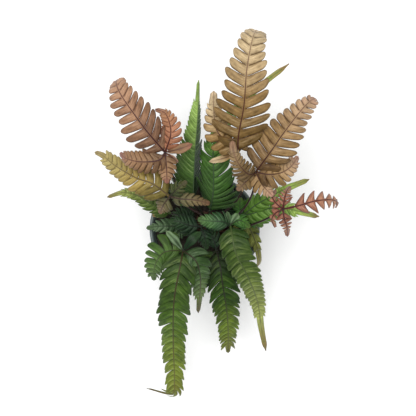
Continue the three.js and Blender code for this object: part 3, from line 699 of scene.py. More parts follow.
def lobed_half(sheet, line, stations, sizes, side, shape, form, rng):
    """The lobes to one side of a rib: a grid, cut between the lobes nearly down to the rib."""
    leans, slim = shape.lean or form.lean, shape.slim
    if side < 0:
        leans, slim = shape.left_lean or leans, shape.left_slim or slim
    turns = [rng.uniform(-form.loose, form.loose) for _ in sizes]
    tilts = [form.shingle + rng.uniform(*LOBE_TILTS) for _ in sizes]
    droops = [LOBE_DROOP + rng.uniform(*LOBE_DROOPS) for _ in sizes]
    lots = [rng.random() for _ in sizes]
    for vert, (column, row) in cut_half(sheet, len(sizes), side).items():
        lobe, step = divmod(column, LOBE_COLUMNS + 1)
        across = step / LOBE_COLUMNS
        here, after = stations[lobe], stations[lobe + 1]
        spacing = (after["mark"] - here["mark"]) * line.length
        share = (here["share"] + after["share"]) / 2
        base = lerp(0.5 - form.back[0], 0.5 + form.front[0], across)
        wing = lerp(here["wing"], after["wing"], base)
        margin = form.margin if step in (0, LOBE_COLUMNS) else 0.0
        if row <= WING_ROWS:
            mark = lerp(here["mark"], after["mark"], base)
            out = wing * row / WING_ROWS
            co = folded(line, mark, side * out, shape.fold)
            margin *= row == WING_ROWS
            # The wing gets the lobe's tone and painted light, fading to nothing at the rib.
            light = lobe_tone_and_painted_light(form, share, across, 0, lots[lobe], side > 0) * row / WING_ROWS
            sheet.put(vert, co, (mark, margin, 1 - row / WING_ROWS), (across - 0.5) * spacing, out, light)
            continue
        t = 1 - (1 - (row - WING_ROWS) / LOBE_ROWS) ** ROW_CROWDING
        size = sizes[lobe]
        lean = math.radians(lerp(*leans, share) + turns[lobe])
        back, front = lobe_edges(form, t, lerp(1, slim, min(t / LOBE_SHOULDER, 1)) * spacing)
        swept = t * (1 - form.sweep * (1 - t))
        along = size * math.cos(lean) * swept + lerp(back, front, across)
        out = lerp(wing, size * math.sin(lean), t)
        arch = form.camber * (1 - (2 * across - 1) ** 2) + tilts[lobe] * (across - 0.5)
        bulge = (front - back) * arch * smooth(t / BULGE_FROM)
        angle = math.radians(shape.fold - droops[lobe] * t * t)
        follow = lerp(1, LOBE_FOLLOW, smooth(t / FREE_FROM))
        middle = (here["mark"] + after["mark"]) / 2
        at, on, right, up = line.frame(middle + follow * along / line.length)
        co = at + on * (along * (1 - follow)) + right * (side * out * math.cos(angle))
        co += up * (out * math.sin(angle) + bulge)
        if row == WING_ROWS + LOBE_ROWS:
            margin = form.margin
        # The lobe's random tone, with painted highlight on its ridge and painted shade on its back edge.
        light = lobe_tone_and_painted_light(form, share, across, size * t, lots[lobe], side > 0)
        sheet.put(vert, co, (middle, margin, 0.0), (across - 0.5) * (front - back), size * t, light)


def strip(sheet, line, marks, half_widths, columns, fold, painted_glint=0.0):
    """A strip of blade along a rib, columns wide to each side, with a half width at each mark."""
    places = grid_places(sheet.bm, 2 * columns, len(marks) - 1)
    for vert, (column, row) in places.items():
        across = column / columns - 1
        out = abs(across) * half_widths[row]
        co = folded(line, marks[row], math.copysign(out, across), fold)
        margin = STRIP_MARGIN if abs(across) == 1 or row == len(marks) - 1 else 0.0
        place = (marks[row], margin, max(0.0, 1 - out / WING_WIDTH))
        # A painted highlight half way out across a plain blade.
        light = painted_glint * (1 - abs(abs(across) - 0.5) * 2)
        sheet.put(vert, co, place, out, marks[row] * line.length, light)


def stations_of(shape, line):
    """The places of the cuts between the lobes of a pinna, as shares of its length."""
    first = shape.stalk / line.length
    stations = []
    for i in range(shape.lobes + 1):
        share = (i / shape.lobes) * (1 + LOBE_CROWDING - LOBE_CROWDING * (i / shape.lobes))
        mark = first + (1 - shape.tail - first) * share
        stations.append({"mark": mark, "wing": WING_WIDTH, "share": share})
    stations[-1]["wing"] = shape.tail_width
    return stations


def pinna_sheet(line, shape, form, rng, thickness):
    """The blade of one pinna as a thin closed shell, its faces numbered 0, or 1 right of the rib."""
    sheet = Sheet()
    if shape.lobes == 0:
        marks = [i / PLAIN_ROWS for i in range(PLAIN_ROWS + 1)]
        widths = [max(TIP_WIDTH / 2, shape.reach * piecewise(PLAIN_BLADE, mark)) for mark in marks]
        strip(sheet, line, marks, widths, PLAIN_COLUMNS // 2, shape.fold, shape.painted_glint)
        sheet.thicken(line, thickness)
        return sheet.bm
    stations = stations_of(shape, line)
    sizes = {-1: [], 1: []}
    for here, after in zip(stations, stations[1:]):
        share = (here["share"] + after["share"]) / 2
        for side in (-1, 1):
            size = lobe_length(shape, form.base_lobe, share)
            sizes[side].append(size * (1 + rng.uniform(-LOBE_VARIATION, LOBE_VARIATION)))
    for side in (-1, 1):
        lobed_half(sheet, line, stations, sizes[side], side, shape, form, rng)
    first, last = stations[0]["mark"], stations[-1]["mark"]
    rows = [i / TAIL_ROWS for i in range(TAIL_ROWS + 1)]
    tail = [last + (1 - last) * row for row in rows]
    widths = [shape.tail_width * piecewise(TAIL_ENDS, row) for row in rows]
    strip(sheet, line, tail, widths, WING_ROWS, shape.fold)
    rows = [i / STALK_ROWS for i in range(STALK_ROWS + 1)]
    stalk = [first * i / STALK_ROWS for i in range(STALK_ROWS + 1)]
    strip(sheet, line, stalk, [lerp(STALK_WIDTH, WING_WIDTH, row) for row in rows], WING_ROWS, shape.fold)
    sheet.thicken(line, thickness)
    return sheet.bm


def stalk_tube(line, marks, radii, sides, lift=0.0):
    """A round stalk or rib along a line, closed at both ends, as a bmesh."""
    bm = bmesh.new()
    place = bm.verts.layers.float_color.new("place")
    ring = bmesh.ops.create_circle(bm, cap_ends=True, segments=sides, radius=1)["verts"]
    edges = edges_of(ring)

    def stand(mark, radius):
        at, on, right, up = line.frame(mark)
        turn = Matrix((right, up, on)).transposed().to_4x4()
        return Matrix.Translation(at + up * lift) @ turn @ Matrix.Diagonal((radius, radius, radius, 1))

    last = stand(marks[0], radii[0])
    bmesh.ops.transform(bm, matrix=last, verts=ring)
    for v in ring:
        v[place] = (marks[0], 0.0, 0.0, 0.0)
    for mark, radius in zip(marks[1:], radii[1:]):
        made = bmesh.ops.extrude_edge_only(bm, edges=edges)["geom"]
        ring = [item for item in made if isinstance(item, bmesh.types.BMVert)]
        edges = [item for item in made if isinstance(item, bmesh.types.BMEdge)
                 and all(v in ring for v in item.verts)]
        after = stand(mark, radius)
        bmesh.ops.transform(bm, matrix=after @ last.inverted(), verts=ring)
        last = after
        for v in ring:
            v[place] = (mark, 0.0, 0.0, 0.0)
    bmesh.ops.edgeloop_fill(bm, edges=edges)
    bmesh.ops.recalc_face_normals(bm, faces=bm.faces[:])
    return bm


def finish_faces(bm, number):
    """Smooth faces that all wear the material of that number."""
    for face in bm.faces:
        face.smooth = True
        face.material_index = number


def piece_of(name, parts, materials, replaced):
    """One object of several finished bmeshes in millimetres, dressed and set in the frame."""
    joined = bmesh.new()
    for part in parts:
        step = bpy.data.meshes.new("step")
        part.to_mesh(step)
        part.free()
        joined.from_mesh(step)
        bpy.data.meshes.remove(step)
    if not joined.faces:
        raise RuntimeError(f"{name} has no faces")
    bmesh.ops.scale(joined, vec=(MM, MM, MM), verts=joined.verts[:])
    mesh = bpy.data.meshes.new(name)
    joined.to_mesh(mesh)
    joined.free()
    for material in materials:
        mesh.materials.append(material)
    piece = bpy.data.objects.new(name, mesh)
    bpy.context.scene.collection.objects.link(piece)
    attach(piece, "root")
    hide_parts(replaced)
    return piece


def frond_piece(plan, sizes, rng):
    """One whole frond: its stipe, its fork, and each pinna with its rib."""
    form = LEAF_FORMS[plan.leaf]
    own_looks = {look for shape in plan.pinnae for look in (shape.look, shape.right_look) if look}
    looks = [plan.look, *sorted(own_looks)]
    materials = [dressed(form.stipe, sizes)]
    for look in looks:
        materials += [dressed(look + " blade", sizes), dressed(look + " rib", sizes)]
    stipe = Line([
        (*plan.foot, SOIL_TOP - STIPE_DEPTH), (*plan.foot, RHIZOME_TOP + STIPE_RISE), *plan.bends,
        plan.fork])
    marks = [i / STIPE_STEPS for i in range(STIPE_STEPS + 1)]
    radii = [lerp(sizes.stipe_foot, sizes.stipe_fork, mark) / MM for mark in marks]
    parts = [stalk_tube(stipe, marks, radii, STIPE_SIDES)]
    knot = bmesh.new()
    bmesh.ops.create_icosphere(
        knot, subdivisions=2, radius=KNOT_RADIUS, matrix=Matrix.Translation(plan.fork))
    parts.append(knot)
    for part in parts:
        finish_faces(part, 0)
    for shape in plan.pinnae:
        line = Line([plan.fork, *shape.rib], shape.turn, shape.twist)
        look = shape.look or plan.look
        blade = pinna_sheet(line, shape, form, rng, sizes.blade_thickness / MM)
        numbers = [1 + 2 * looks.index(look), 1 + 2 * looks.index(shape.right_look or look)]
        for face in blade.faces:
            face.material_index = numbers[face.material_index]
        parts.append(blade)
        thick = RIB_RADIUS if shape.lobes else PLAIN_RIB_RADIUS
        marks = [i / RIB_TUBE_STEPS * RIB_TUBE_END for i in range(RIB_TUBE_STEPS + 1)]
        radii = [lerp(thick, RIB_TIP_RADIUS, mark ** RIB_TAPER) for mark in marks]
        rib = stalk_tube(line, marks, radii, RIB_TUBE_SIDES, RIB_LIFT)
        finish_faces(rib, numbers[0] + 1)
        parts.append(rib)
    return piece_of(plan.name.replace("frond", "leaf"), parts, materials, plan.name)


def inner_radius(height, rim, base, tall):
    return base - POT_WALL + (rim - LIP_STEP - base) / tall * height


def turned(bm, points, segments):
    """Spins a run of (radius, height) points about the upright axis into a skin."""
    start = bmesh.ops.create_vert(bm, co=(points[0][0], 0, points[0][1]))["vert"]
    verts = list(start)
    for radius, height in points[1:]:
        made = bmesh.ops.extrude_vert_indiv(bm, verts=verts[-1:])["verts"][0]
        made.co = (radius, 0, height)
        verts.append(made)
    bmesh.ops.spin(
        bm, geom=verts + edges_of(verts), cent=(0, 0, 0), axis=(0, 0, 1), angle=2 * math.pi,
        steps=segments, use_merge=True)


def rounded(corner, before, after, radius, steps=4):
    """Points of a fillet at a corner of a profile."""
    corner, before, after = Vector(corner), Vector(before), Vector(after)
    start = corner + (before - corner).normalized() * radius
    end = corner + (after - corner).normalized() * radius
    points = []
    for i in range(steps + 1):
        t = i / steps
        points.append(tuple(start * (1 - t) ** 2 + corner * 2 * t * (1 - t) + end * t ** 2))
    return points


def pot_bmesh(rim, base, tall):
    """A tapered pot turned from its wall's outline, with drain holes through its floor."""
    if rim <= base or tall <= LIP_HEIGHT:
        raise ValueError("the pot's rim must be wider than its base, and the pot taller than its lip")
    lip = tall - LIP_HEIGHT
    inner = {
        height: inner_radius(height, rim, base, tall)
        for height in (tall, lip, POT_FLOOR + POT_EDGE, POT_FLOOR)}
    corners = [
        (base - POT_EDGE, 0), (base, POT_EDGE), (inner[lip] + POT_WALL, lip),
        (rim - LIP_CORNER, lip + LIP_CORNER), (rim, tall - LIP_BEVEL), (rim - LIP_BEVEL, tall),
        (rim - LIP_STEP, tall), (inner[tall] + LIP_CORNER, tall - LIP_BEVEL), (inner[lip], lip),
        (inner[POT_FLOOR + POT_EDGE], POT_FLOOR + POT_EDGE), (inner[POT_FLOOR] - POT_EDGE, POT_FLOOR)]
    points = [corners[0]]
    for before, corner, after in zip(corners, corners[1:], corners[2:]):
        points.extend(rounded(corner, before, after, POT_ROUNDING))
    points.append(corners[-1])
    bm = bmesh.new()
    turned(bm, points, POT_SEGMENTS)
    holes = []
    for radius, height in (corners[0], corners[-1]):
        at = Matrix.Translation((0, 0, height))
        rings = [bmesh.ops.create_circle(bm, segments=POT_SEGMENTS, radius=radius, matrix=at)["verts"]]
        for i in range(DRAIN_HOLES):
            angle = 2 * math.pi * i / DRAIN_HOLES
            spot = (DRAIN_RING_RADIUS * math.cos(angle), DRAIN_RING_RADIUS * math.sin(angle), height)
            rings.append(bmesh.ops.create_circle(
                bm, segments=DRAIN_SEGMENTS, radius=DRAIN_RADIUS,
                matrix=Matrix.Translation(spot))["verts"])
        edges = [edges_of(ring) for ring in rings]
        bmesh.ops.triangle_fill(bm, use_beauty=True, edges=[edge for ring in edges for edge in ring])
        holes.append(edges[1:])
    for lower, upper in zip(*holes):
        bmesh.ops.bridge_loops(bm, edges=lower + upper)
    bmesh.ops.remove_doubles(bm, verts=bm.verts[:], dist=TURNED_MERGE)
    bmesh.ops.recalc_face_normals(bm, faces=bm.faces[:])
    for face in bm.faces:
        face.smooth = abs(face.normal.z) < FLAT_FACE
    return bm


def soil_bmesh(edge, low):
    """The plug of potting mix that fills the pot, with a slightly heaped top."""
    bm = bmesh.new()
    bottom = POT_FLOOR + GAP
    points = [(0, bottom), (low, bottom), (low + POT_EDGE, bottom + POT_EDGE)]
    points += [(edge, SOIL_TOP - SOIL_EDGE)]
    points += [(edge * (1 - i / SOIL_RINGS), SOIL_TOP) for i in range(SOIL_RINGS + 1)]
    turned(bm, points, SOIL_SEGMENTS)
    bmesh.ops.remove_doubles(bm, verts=bm.verts[:], dist=TURNED_MERGE)
    for v in bm.verts:
        if v.co.z > SOIL_TOP - 1:
            v.co.z += roughness(v.co, SOIL_BUMPS)
    bmesh.ops.recalc_face_normals(bm, faces=bm.faces[:])
    finish_faces(bm, 0)
    return bm


def crumbs_bmesh(edge, count, rng):
    """Crumbs of peat and chips of bark lying on the soil."""
    bm = bmesh.new()
    for _ in range(count):
        reach = (edge - CRUMB_MARGIN) * math.sqrt(rng.random())
        angle = rng.uniform(0, 2 * math.pi)
        size = rng.choice(CRUMB_SIZES)
        spot = Vector((reach * math.cos(angle), reach * math.sin(angle), SOIL_TOP))
        heap = roughness(spot, SOIL_BUMPS[:1])
        spot.z += rng.uniform(*CRUMB_LIFT)
        spot.z += heap
        turn = Euler([rng.uniform(0, ANY_TURN) for _ in range(3)]).to_matrix().to_4x4()
        form = Matrix.Diagonal([rng.uniform(*sides) for sides in CRUMB_SHAPES] + [1])
        bmesh.ops.create_icosphere(
            bm, subdivisions=1, radius=size, matrix=Matrix.Translation(spot) @ turn @ form)
    noise.seed_set(CRUMB_SEED)
    fineness, height = CRUMB_BUMPS
    for v in bm.verts:
        v.co += noise.noise_vector(v.co * fineness) * height
        v.co.z = max(v.co.z, SOIL_TOP - CRUMB_DEPTH)
    return bm


def crown_bmesh():
    """The lumpy crown of the rhizome."""
    lumps = bmesh.new()
    for x, y, along, across in RHIZOME_LUMPS:
        centre = Matrix.Translation((CROWN[0] + x, CROWN[1] + y, RHIZOME_TOP - RHIZOME_DEPTH))
        form = Matrix.Diagonal((along, across, RHIZOME_DEPTH, 1))
        bmesh.ops.create_icosphere(lumps, subdivisions=5, radius=1, matrix=centre @ form)
    for v in lumps.verts:
        v.co += v.normal * roughness(v.co, RHIZOME_KNOBS)
    bmesh.ops.recalc_face_normals(lumps, faces=lumps.faces[:])
    finish_faces(lumps, 0)
    return lumps


def scales_bmesh(count, rng):
    """The narrow pointed scales that cover the rhizome, and those at the foot of each stipe."""
    scales = bmesh.new()
    for _ in range(count):
        x, y, along, across = rng.choice(RHIZOME_LUMPS)
        angle, rise = rng.uniform(0, 2 * math.pi), math.acos(rng.uniform(0.1, 1))
        out = Vector((math.sin(rise) * math.cos(angle), math.sin(rise) * math.sin(angle), math.cos(rise)))
        spot = Vector((
            CROWN[0] + x + along * out.x, CROWN[1] + y + across * out.y,
            RHIZOME_TOP - RHIZOME_DEPTH * (1 - out.z)))
        facing = Vector((out.x, out.y, SCALE_RISE)).normalized()
        twist = Matrix.Rotation(rng.uniform(0, ANY_TURN), 4, "Z")
        twist @= Matrix.Rotation(rng.uniform(*SCALE_TILTS), 4, "X")
        scale_cone(scales, spot, facing, twist, rng.uniform(*SCALE_SIZES))
    for plan in FRONDS:
        for i in range(STIPE_SCALES):
            angle = STIPE_SCALE_TURN * i
            out = Vector((math.cos(angle), math.sin(angle), 0))
            spot = Vector((*plan.foot, RHIZOME_TOP - 1 + STIPE_SCALE_STEP * i)) + out * STIPE_SCALE_REACH
            facing = out * STIPE_SCALE_LEAN + UP
            scale_cone(scales, spot, facing, Matrix.Identity(4), rng.uniform(*STIPE_SCALE_SIZES))
    return scales


def scale_cone(bm, spot, facing, twist, size):
    """One pointed scale with its tip that way, after its own twist."""
    turn = facing.to_track_quat("Z", "Y").to_matrix().to_4x4() @ twist
    bmesh.ops.create_cone(
        bm, cap_ends=True, segments=4, radius1=SCALE_WIDTH * size, radius2=SCALE_TIP,
        depth=SCALE_LENGTH * size,
        matrix=Matrix.Translation(spot) @ turn @ Matrix.Diagonal((1, SCALE_FLATNESS, 1, 1)))


def add(tree, kind, inputs=None, **settings):
    """A node of that kind with its settings. Each input is given its value, or is linked to a socket
    or to the first output of a node.
    """
    node = tree.nodes.new(kind)
    for name, value in settings.items():
        setattr(node, name, value)
    for name, value in (inputs or {}).items():
        if isinstance(value, bpy.types.Node):
            value = value.outputs[0]
        if isinstance(value, bpy.types.NodeSocket):
            tree.links.new(value, node.inputs[name])
        else:
            node.inputs[name].default_value = value
    return node


def new_material(name, settings):
    """A material with those constants on its shader, its node tree and its shader."""
    material = bpy.data.materials.new(name)
    material.use_nodes = True
    tree = material.node_tree
    surface = tree.nodes["Principled BSDF"]
    for socket, value in settings.items():
        surface.inputs[socket].default_value = value
    return material, tree, surface


def scaled(colour, share, more=0.0):
    """A linear colour made darker or paler."""
    return (*(min(1.0, c * share + more) for c in colour[:3]), 1.0)


def two_tone(tree, surface, pattern, low, high, colours):
    """Colours a surface from the first colour to the second where a pattern goes from low to high."""
    share = add(tree, "ShaderNodeMapRange", {"Value": pattern, "From Min": low, "From Max": high})
    skin = add(tree, "ShaderNodeMix", {0: share, 6: colours[0], 7: colours[1]}, data_type="RGBA")
    tree.links.new(skin.outputs[2], surface.inputs["Base Color"])


def blade_colour(tree, colours, patches, streaks, crest, share):
    """The colour of a blade from fork to tip, made paler or darker by its patches and streaks and by
    the painted highlight and shade of its crest, with a broken painted highlight along each lobe's ridge.
    """
    fork, middle, near, tip, pale = colours
    drift = add(tree, "ShaderNodeMath", {0: patches, 1: 0.3, 2: share}, operation="MULTIPLY_ADD")
    along = add(tree, "ShaderNodeMath", {0: drift, 1: 0.15}, operation="SUBTRACT")
    blade = add(tree, "ShaderNodeValToRGB", {"Fac": along})
    stops = blade.color_ramp.elements
    stops[0].color, stops[1].color = fork, tip
    stops.new(0.35).color = middle
    stops.new(0.72).color = near
    # Patches and streaks vary the blade's tone; the crest adds painted highlight and painted shade.
    light = add(tree, "ShaderNodeMath", {0: patches, 1: 1.0, 2: crest}, operation="MULTIPLY_ADD")
    light = add(tree, "ShaderNodeMath", {0: streaks, 1: 2.0, 2: light}, operation="MULTIPLY_ADD")
    light = add(tree, "ShaderNodeMath", {0: light, 1: 0.5}, operation="SUBTRACT")
    light = add(tree, "ShaderNodeMath", {0: light, 1: 0.3}, operation="MAXIMUM")
    lit = add(tree, "ShaderNodeHueSaturation", {"Value": light, "Color": blade})
    # A broken painted highlight along each lobe's ridge, in the look's last colour.
    broken = add(tree, "ShaderNodeMapRange", {"Value": streaks, "From Min": 0.42, "From Max": 0.62})
    ridge = add(tree, "ShaderNodeMath", {0: crest, 1: broken}, operation="MULTIPLY", use_clamp=True)
    return add(tree, "ShaderNodeMix", {0: ridge, 6: lit, 7: pale}, data_type="RGBA").outputs[2]


def vein_lines(tree, leaf_mm):
    """The veins of a lobe 1.3 mm apart, coarser than real ones so that they show, and its midvein
    0.4 mm to each side of its middle.
    """
    veins = add(
        tree, "ShaderNodeTexWave", {"Vector": leaf_mm, "Scale": 0.242}, wave_type="BANDS",
        bands_direction="X").outputs["Fac"]
    across = add(tree, "ShaderNodeSeparateXYZ", {0: leaf_mm}).outputs["Y"]
    off = add(tree, "ShaderNodeMath", {0: across}, operation="ABSOLUTE")
    midvein = add(
        tree, "ShaderNodeMath", {0: off, 1: -2.4, 2: 1.0}, operation="MULTIPLY_ADD", use_clamp=True)
    lines = add(tree, "ShaderNodeMath", {0: veins, 1: midvein}, operation="MAXIMUM")
    return add(tree, "ShaderNodeMath", {0: lines, 1: 0.3}, operation="MULTIPLY")


def leaf_material(name, colours, gloss):
    """Living fern blade: satin, never mirror-like, mottled and streaked along each lobe, with fine
    forked veins that slant from the lobe's middle to a darker margin, a pale matt underside, and a
    painted highlight along each lobe's ridge with painted shade on its back edge.
    """
    fork, middle, near, tip, margin, under, _, _, pale = colours
    material, tree, surface = new_material(
        name, {"Roughness": gloss, "IOR": 1.45, "Specular IOR Level": 0.22})
    place = add(tree, "ShaderNodeAttribute", attribute_name="place")
    share, edge, rib = add(tree, "ShaderNodeSeparateColor", {0: place.outputs["Color"]}).outputs[:3]
    leaf_mm = add(tree, "ShaderNodeAttribute", attribute_name="leaf_mm").outputs["Vector"]
    crest = add(tree, "ShaderNodeAttribute", attribute_name="crest").outputs["Fac"]
    spot = add(tree, "ShaderNodeTexCoord").outputs["Object"]

    # Patches of 8 mm, and streaks of 1 to 2 mm across by a centimetre along the lobe
    patches = add(
        tree, "ShaderNodeTexNoise", {"Vector": spot, "Scale": 130, "Detail": 4, "Roughness": 0.6})
    grain = add(tree, "ShaderNodeMapping", {"Vector": leaf_mm, "Scale": (0.0, 0.9, 0.13)})
    streaks = add(
        tree, "ShaderNodeTexNoise", {"Vector": grain, "Scale": 1.0, "Detail": 3, "Roughness": 0.7})

    colour = blade_colour(tree, (fork, middle, near, tip, pale), patches, streaks, crest, share)
    lines = vein_lines(tree, leaf_mm)
    dark = add(tree, "ShaderNodeMath", {0: rib, 1: 0.4}, operation="MULTIPLY")
    dark = add(tree, "ShaderNodeMath", {0: edge, 1: dark}, operation="MAXIMUM")
    dark = add(tree, "ShaderNodeMath", {0: dark, 1: lines}, operation="MAXIMUM")
    colour = add(tree, "ShaderNodeMix", {0: dark, 6: colour, 7: margin}, data_type="RGBA").outputs[2]
    below = add(tree, "ShaderNodeMath", {0: place.outputs["Alpha"], 1: 0.8}, operation="MULTIPLY")
    colour = add(tree, "ShaderNodeMix", {0: below, 6: colour, 7: under}, data_type="RGBA").outputs[2]
    tree.links.new(colour, surface.inputs["Base Color"])

    sunk = add(tree, "ShaderNodeMath", {0: streaks, 1: 2.5, 2: 1.0}, operation="MULTIPLY_ADD")
    sunk = add(tree, "ShaderNodeMath", {0: sunk, 1: lines}, operation="SUBTRACT")
    bump = add(tree, "ShaderNodeBump", {"Height": sunk, "Strength": 0.7, "Distance": 0.0003})
    tree.links.new(bump.outputs[0], surface.inputs["Normal"])
    return material


def stalk_material(name, foot, tip, gloss):
    """Fern rib and stipe: hard, smooth and wiry, with a satin gloss, and paler towards its tip."""
    material, tree, surface = new_material(
        name, {"Roughness": gloss, "IOR": 1.5, "Specular IOR Level": 0.25})
    place = add(tree, "ShaderNodeAttribute", attribute_name="place")
    share = add(tree, "ShaderNodeSeparateColor", {0: place.outputs["Color"]}).outputs["Red"]
    along = add(tree, "ShaderNodeMapRange", {"Value": share, "From Min": 0.35, "From Max": 1.0})
    colour = add(tree, "ShaderNodeMix", {0: along, 6: foot, 7: tip}, data_type="RGBA").outputs[2]
    spot = add(tree, "ShaderNodeTexCoord").outputs["Object"]
    flecks = add(tree, "ShaderNodeTexNoise", {"Vector": spot, "Scale": 700, "Detail": 2})
    flecks = add(tree, "ShaderNodeMath", {0: flecks, 1: 0.4}, operation="MULTIPLY")
    skin = add(tree, "ShaderNodeMix", {0: flecks, 6: colour, 7: scaled(foot, 0.3)}, data_type="RGBA")
    tree.links.new(skin.outputs[2], surface.inputs["Base Color"])
    return material


def plastic_material(colour):
    """Injection-moulded polypropylene, thin and grey-blue: satin, with a faint orange-peel skin."""
    material, tree, surface = new_material("moulded polypropylene", {"Roughness": 0.42, "IOR": 1.49})
    spot = add(tree, "ShaderNodeTexCoord").outputs["Object"]
    dust = add(tree, "ShaderNodeTexNoise", {"Vector": spot, "Scale": 60, "Detail": 5})
    two_tone(tree, surface, dust, 0.35, 0.75, (colour, scaled(colour, 1.2, 0.006)))
    peel = add(tree, "ShaderNodeTexNoise", {"Vector": spot, "Scale": 900, "Detail": 2})
    bump = add(tree, "ShaderNodeBump", {"Height": peel, "Strength": 0.15, "Distance": 0.0001})
    tree.links.new(bump.outputs[0], surface.inputs["Normal"])
    return material


def soil_material(colour):
    """Damp peat with bark: nearly black and matt, with brown fibres and crumbs 1 to 2 mm across."""
    material, tree, surface = new_material("damp peat and bark", {"Roughness": 0.9, "IOR": 1.4})
    spot = add(tree, "ShaderNodeTexCoord").outputs["Object"]
    grain = add(
        tree, "ShaderNodeTexNoise", {"Vector": spot, "Scale": 420, "Detail": 6, "Roughness": 0.7})
    two_tone(tree, surface, grain, 0.3, 0.75, (scaled(colour, 0.4), scaled(colour, 2.2)))
    bump = add(tree, "ShaderNodeBump", {"Height": grain, "Strength": 0.8, "Distance": 0.0006})
    tree.links.new(bump.outputs[0], surface.inputs["Normal"])
    return material


def scale_material(colour):
    """Papery rhizome scales: dry, chestnut brown and slightly shiny, streaked every 2 mm."""
    material, tree, surface = new_material("papery fern scales", {"Roughness": 0.6, "IOR": 1.45})
    spot = add(tree, "ShaderNodeTexCoord").outputs["Object"]
    streak = add(tree, "ShaderNodeTexNoise", {"Vector": spot, "Scale": 500, "Detail": 4})
    two_tone(tree, surface, streak, 0.3, 0.7, (scaled(colour, 0.35), colour))
    return material


def paper_material(colour):
    """Matt white paper under the pot: no gloss, soft shadows, and a faint painted glow that keeps it
    white.
    """
    paper, _, surface = new_material("matt white paper", {"Roughness": 0.9})
    surface.inputs["Base Color"].default_value = colour
    # A painted glow: the paper gives off a little light of its own, which lifts its shadows.
    surface.inputs["Emission Color"].default_value = (1, 1, 1, 1)
    surface.inputs["Emission Strength"].default_value = 0.12
    return paper


def dressed(name, sizes):
    """The leaf material of that name, made when it is first asked for."""
    if name in bpy.data.materials:
        return bpy.data.materials[name]
    if name == "dark brown stipe":
        return stalk_material(name, sizes.brown_stipe, sizes.brown_stipe, sizes.stalk_gloss)
    if name == "dark green stipe":
        return stalk_material(name, sizes.green_stipe, sizes.green_stipe, sizes.stalk_gloss)
    look, part = name.rsplit(" ", 1)
    colours = [hex_colour(text) for text in LOOKS[look].split()]
    if part == "rib":
        *_, foot, tip, _ = colours
        return stalk_material(name, foot, tip, sizes.stalk_gloss)
    return leaf_material(name, colours, sizes.blade_gloss)


def build_fronds(leaf, sizes):
    """Every frond of that kind of leaf."""
    for number, plan in enumerate(FRONDS):
        if plan.leaf == leaf:
            frond_piece(plan, sizes, random.Random(FROND_SEED + number))


class FernPotSizes(bpy.types.PropertyGroup):
    rim_radius: FloatProperty(
        name="Rim radius", description="Outer radius of the pot's lip", default=0.0525, unit="LENGTH")
    base_radius: FloatProperty(
        name="Base radius", description="Outer radius of the pot's floor", default=0.037, unit="LENGTH")
    height: FloatProperty(name="Height", description="Height of the pot", default=0.09, unit="LENGTH")
    plastic: FloatVectorProperty(
        name="Plastic", description="Colour of the pot", subtype="COLOR", size=4, min=0, max=1,
        default=hex_colour("4E5A58"))


class FernSoilSizes(bpy.types.PropertyGroup):
    crumbs: IntProperty(name="Crumbs", description="Loose crumbs on the soil", default=1000, min=0)
    peat: FloatVectorProperty(
        name="Peat", description="Colour of the potting mix", subtype="COLOR", size=4, min=0, max=1,
        default=hex_colour("2A241E"))
    scales: IntProperty(name="Scales", description="Scales on the rhizome", default=420, min=0)
    chestnut: FloatVectorProperty(
        name="Scale colour", description="Colour of the rhizome's scales", subtype="COLOR", size=4,
        min=0, max=1, default=hex_colour("5A3A22"))


class FernLeafSizes(bpy.types.PropertyGroup):
    blade_thickness: FloatProperty(
        name="Blade thickness", description="Thickness of a leaf blade", default=0.00035, min=0.0001,
        unit="LENGTH", precision=5)
    stipe_foot: FloatProperty(
        name="Stipe at its foot", description="Radius of a stipe at the soil", default=0.0012,
        min=0.0002, unit="LENGTH", precision=5)
    stipe_fork: FloatProperty(
        name="Stipe at its fork", description="Radius of a stipe where its pinnae part",
        default=0.00085, min=0.0002, unit="LENGTH", precision=5)
    blade_gloss: FloatProperty(
        name="Blade roughness", description="Roughness of the blades", default=0.42, min=0, max=1,
        subtype="FACTOR")
    stalk_gloss: FloatProperty(
        name="Stalk roughness", description="Roughness of the stipes and ribs", default=0.4, min=0,
        max=1, subtype="FACTOR")
    brown_stipe: FloatVectorProperty(
        name="Brown stipe", description="Stipe colour of the bronze, red and olive fronds",
        subtype="COLOR", size=4, min=0, max=1, default=hex_colour("2C1A16"))
    green_stipe: FloatVectorProperty(
        name="Green stipe", description="Stipe colour of the green fronds", subtype="COLOR", size=4,
        min=0, max=1, default=hex_colour("1E2414"))


class FernStudioSizes(bpy.types.PropertyGroup):
    floor_size: FloatProperty(
        name="Floor", description="Half of the floor's width", default=6, min=1, unit="LENGTH")
    floor_colour: FloatVectorProperty(
        name="Paper", description="Colour of the floor", subtype="COLOR", size=4, min=0, max=1,
        default=(0.9, 0.9, 0.9, 1.0))
    sky: FloatProperty(name="Fill light", description="Strength of the light all round", default=0.55)
    softbox: FloatProperty(
        name="Softbox", description="Width of the square softbox", default=1.0, unit="LENGTH")
    power: FloatProperty(
        name="Softbox power", description="Power of the softbox", default=25, unit="POWER")
    camera_height: FloatProperty(
        name="Camera height", description="Height of the camera over the floor", default=0.99,
        unit="LENGTH")
    lens: FloatProperty(
        name="Focal length", description="The camera's focal length", default=81.9, unit="CAMERA")


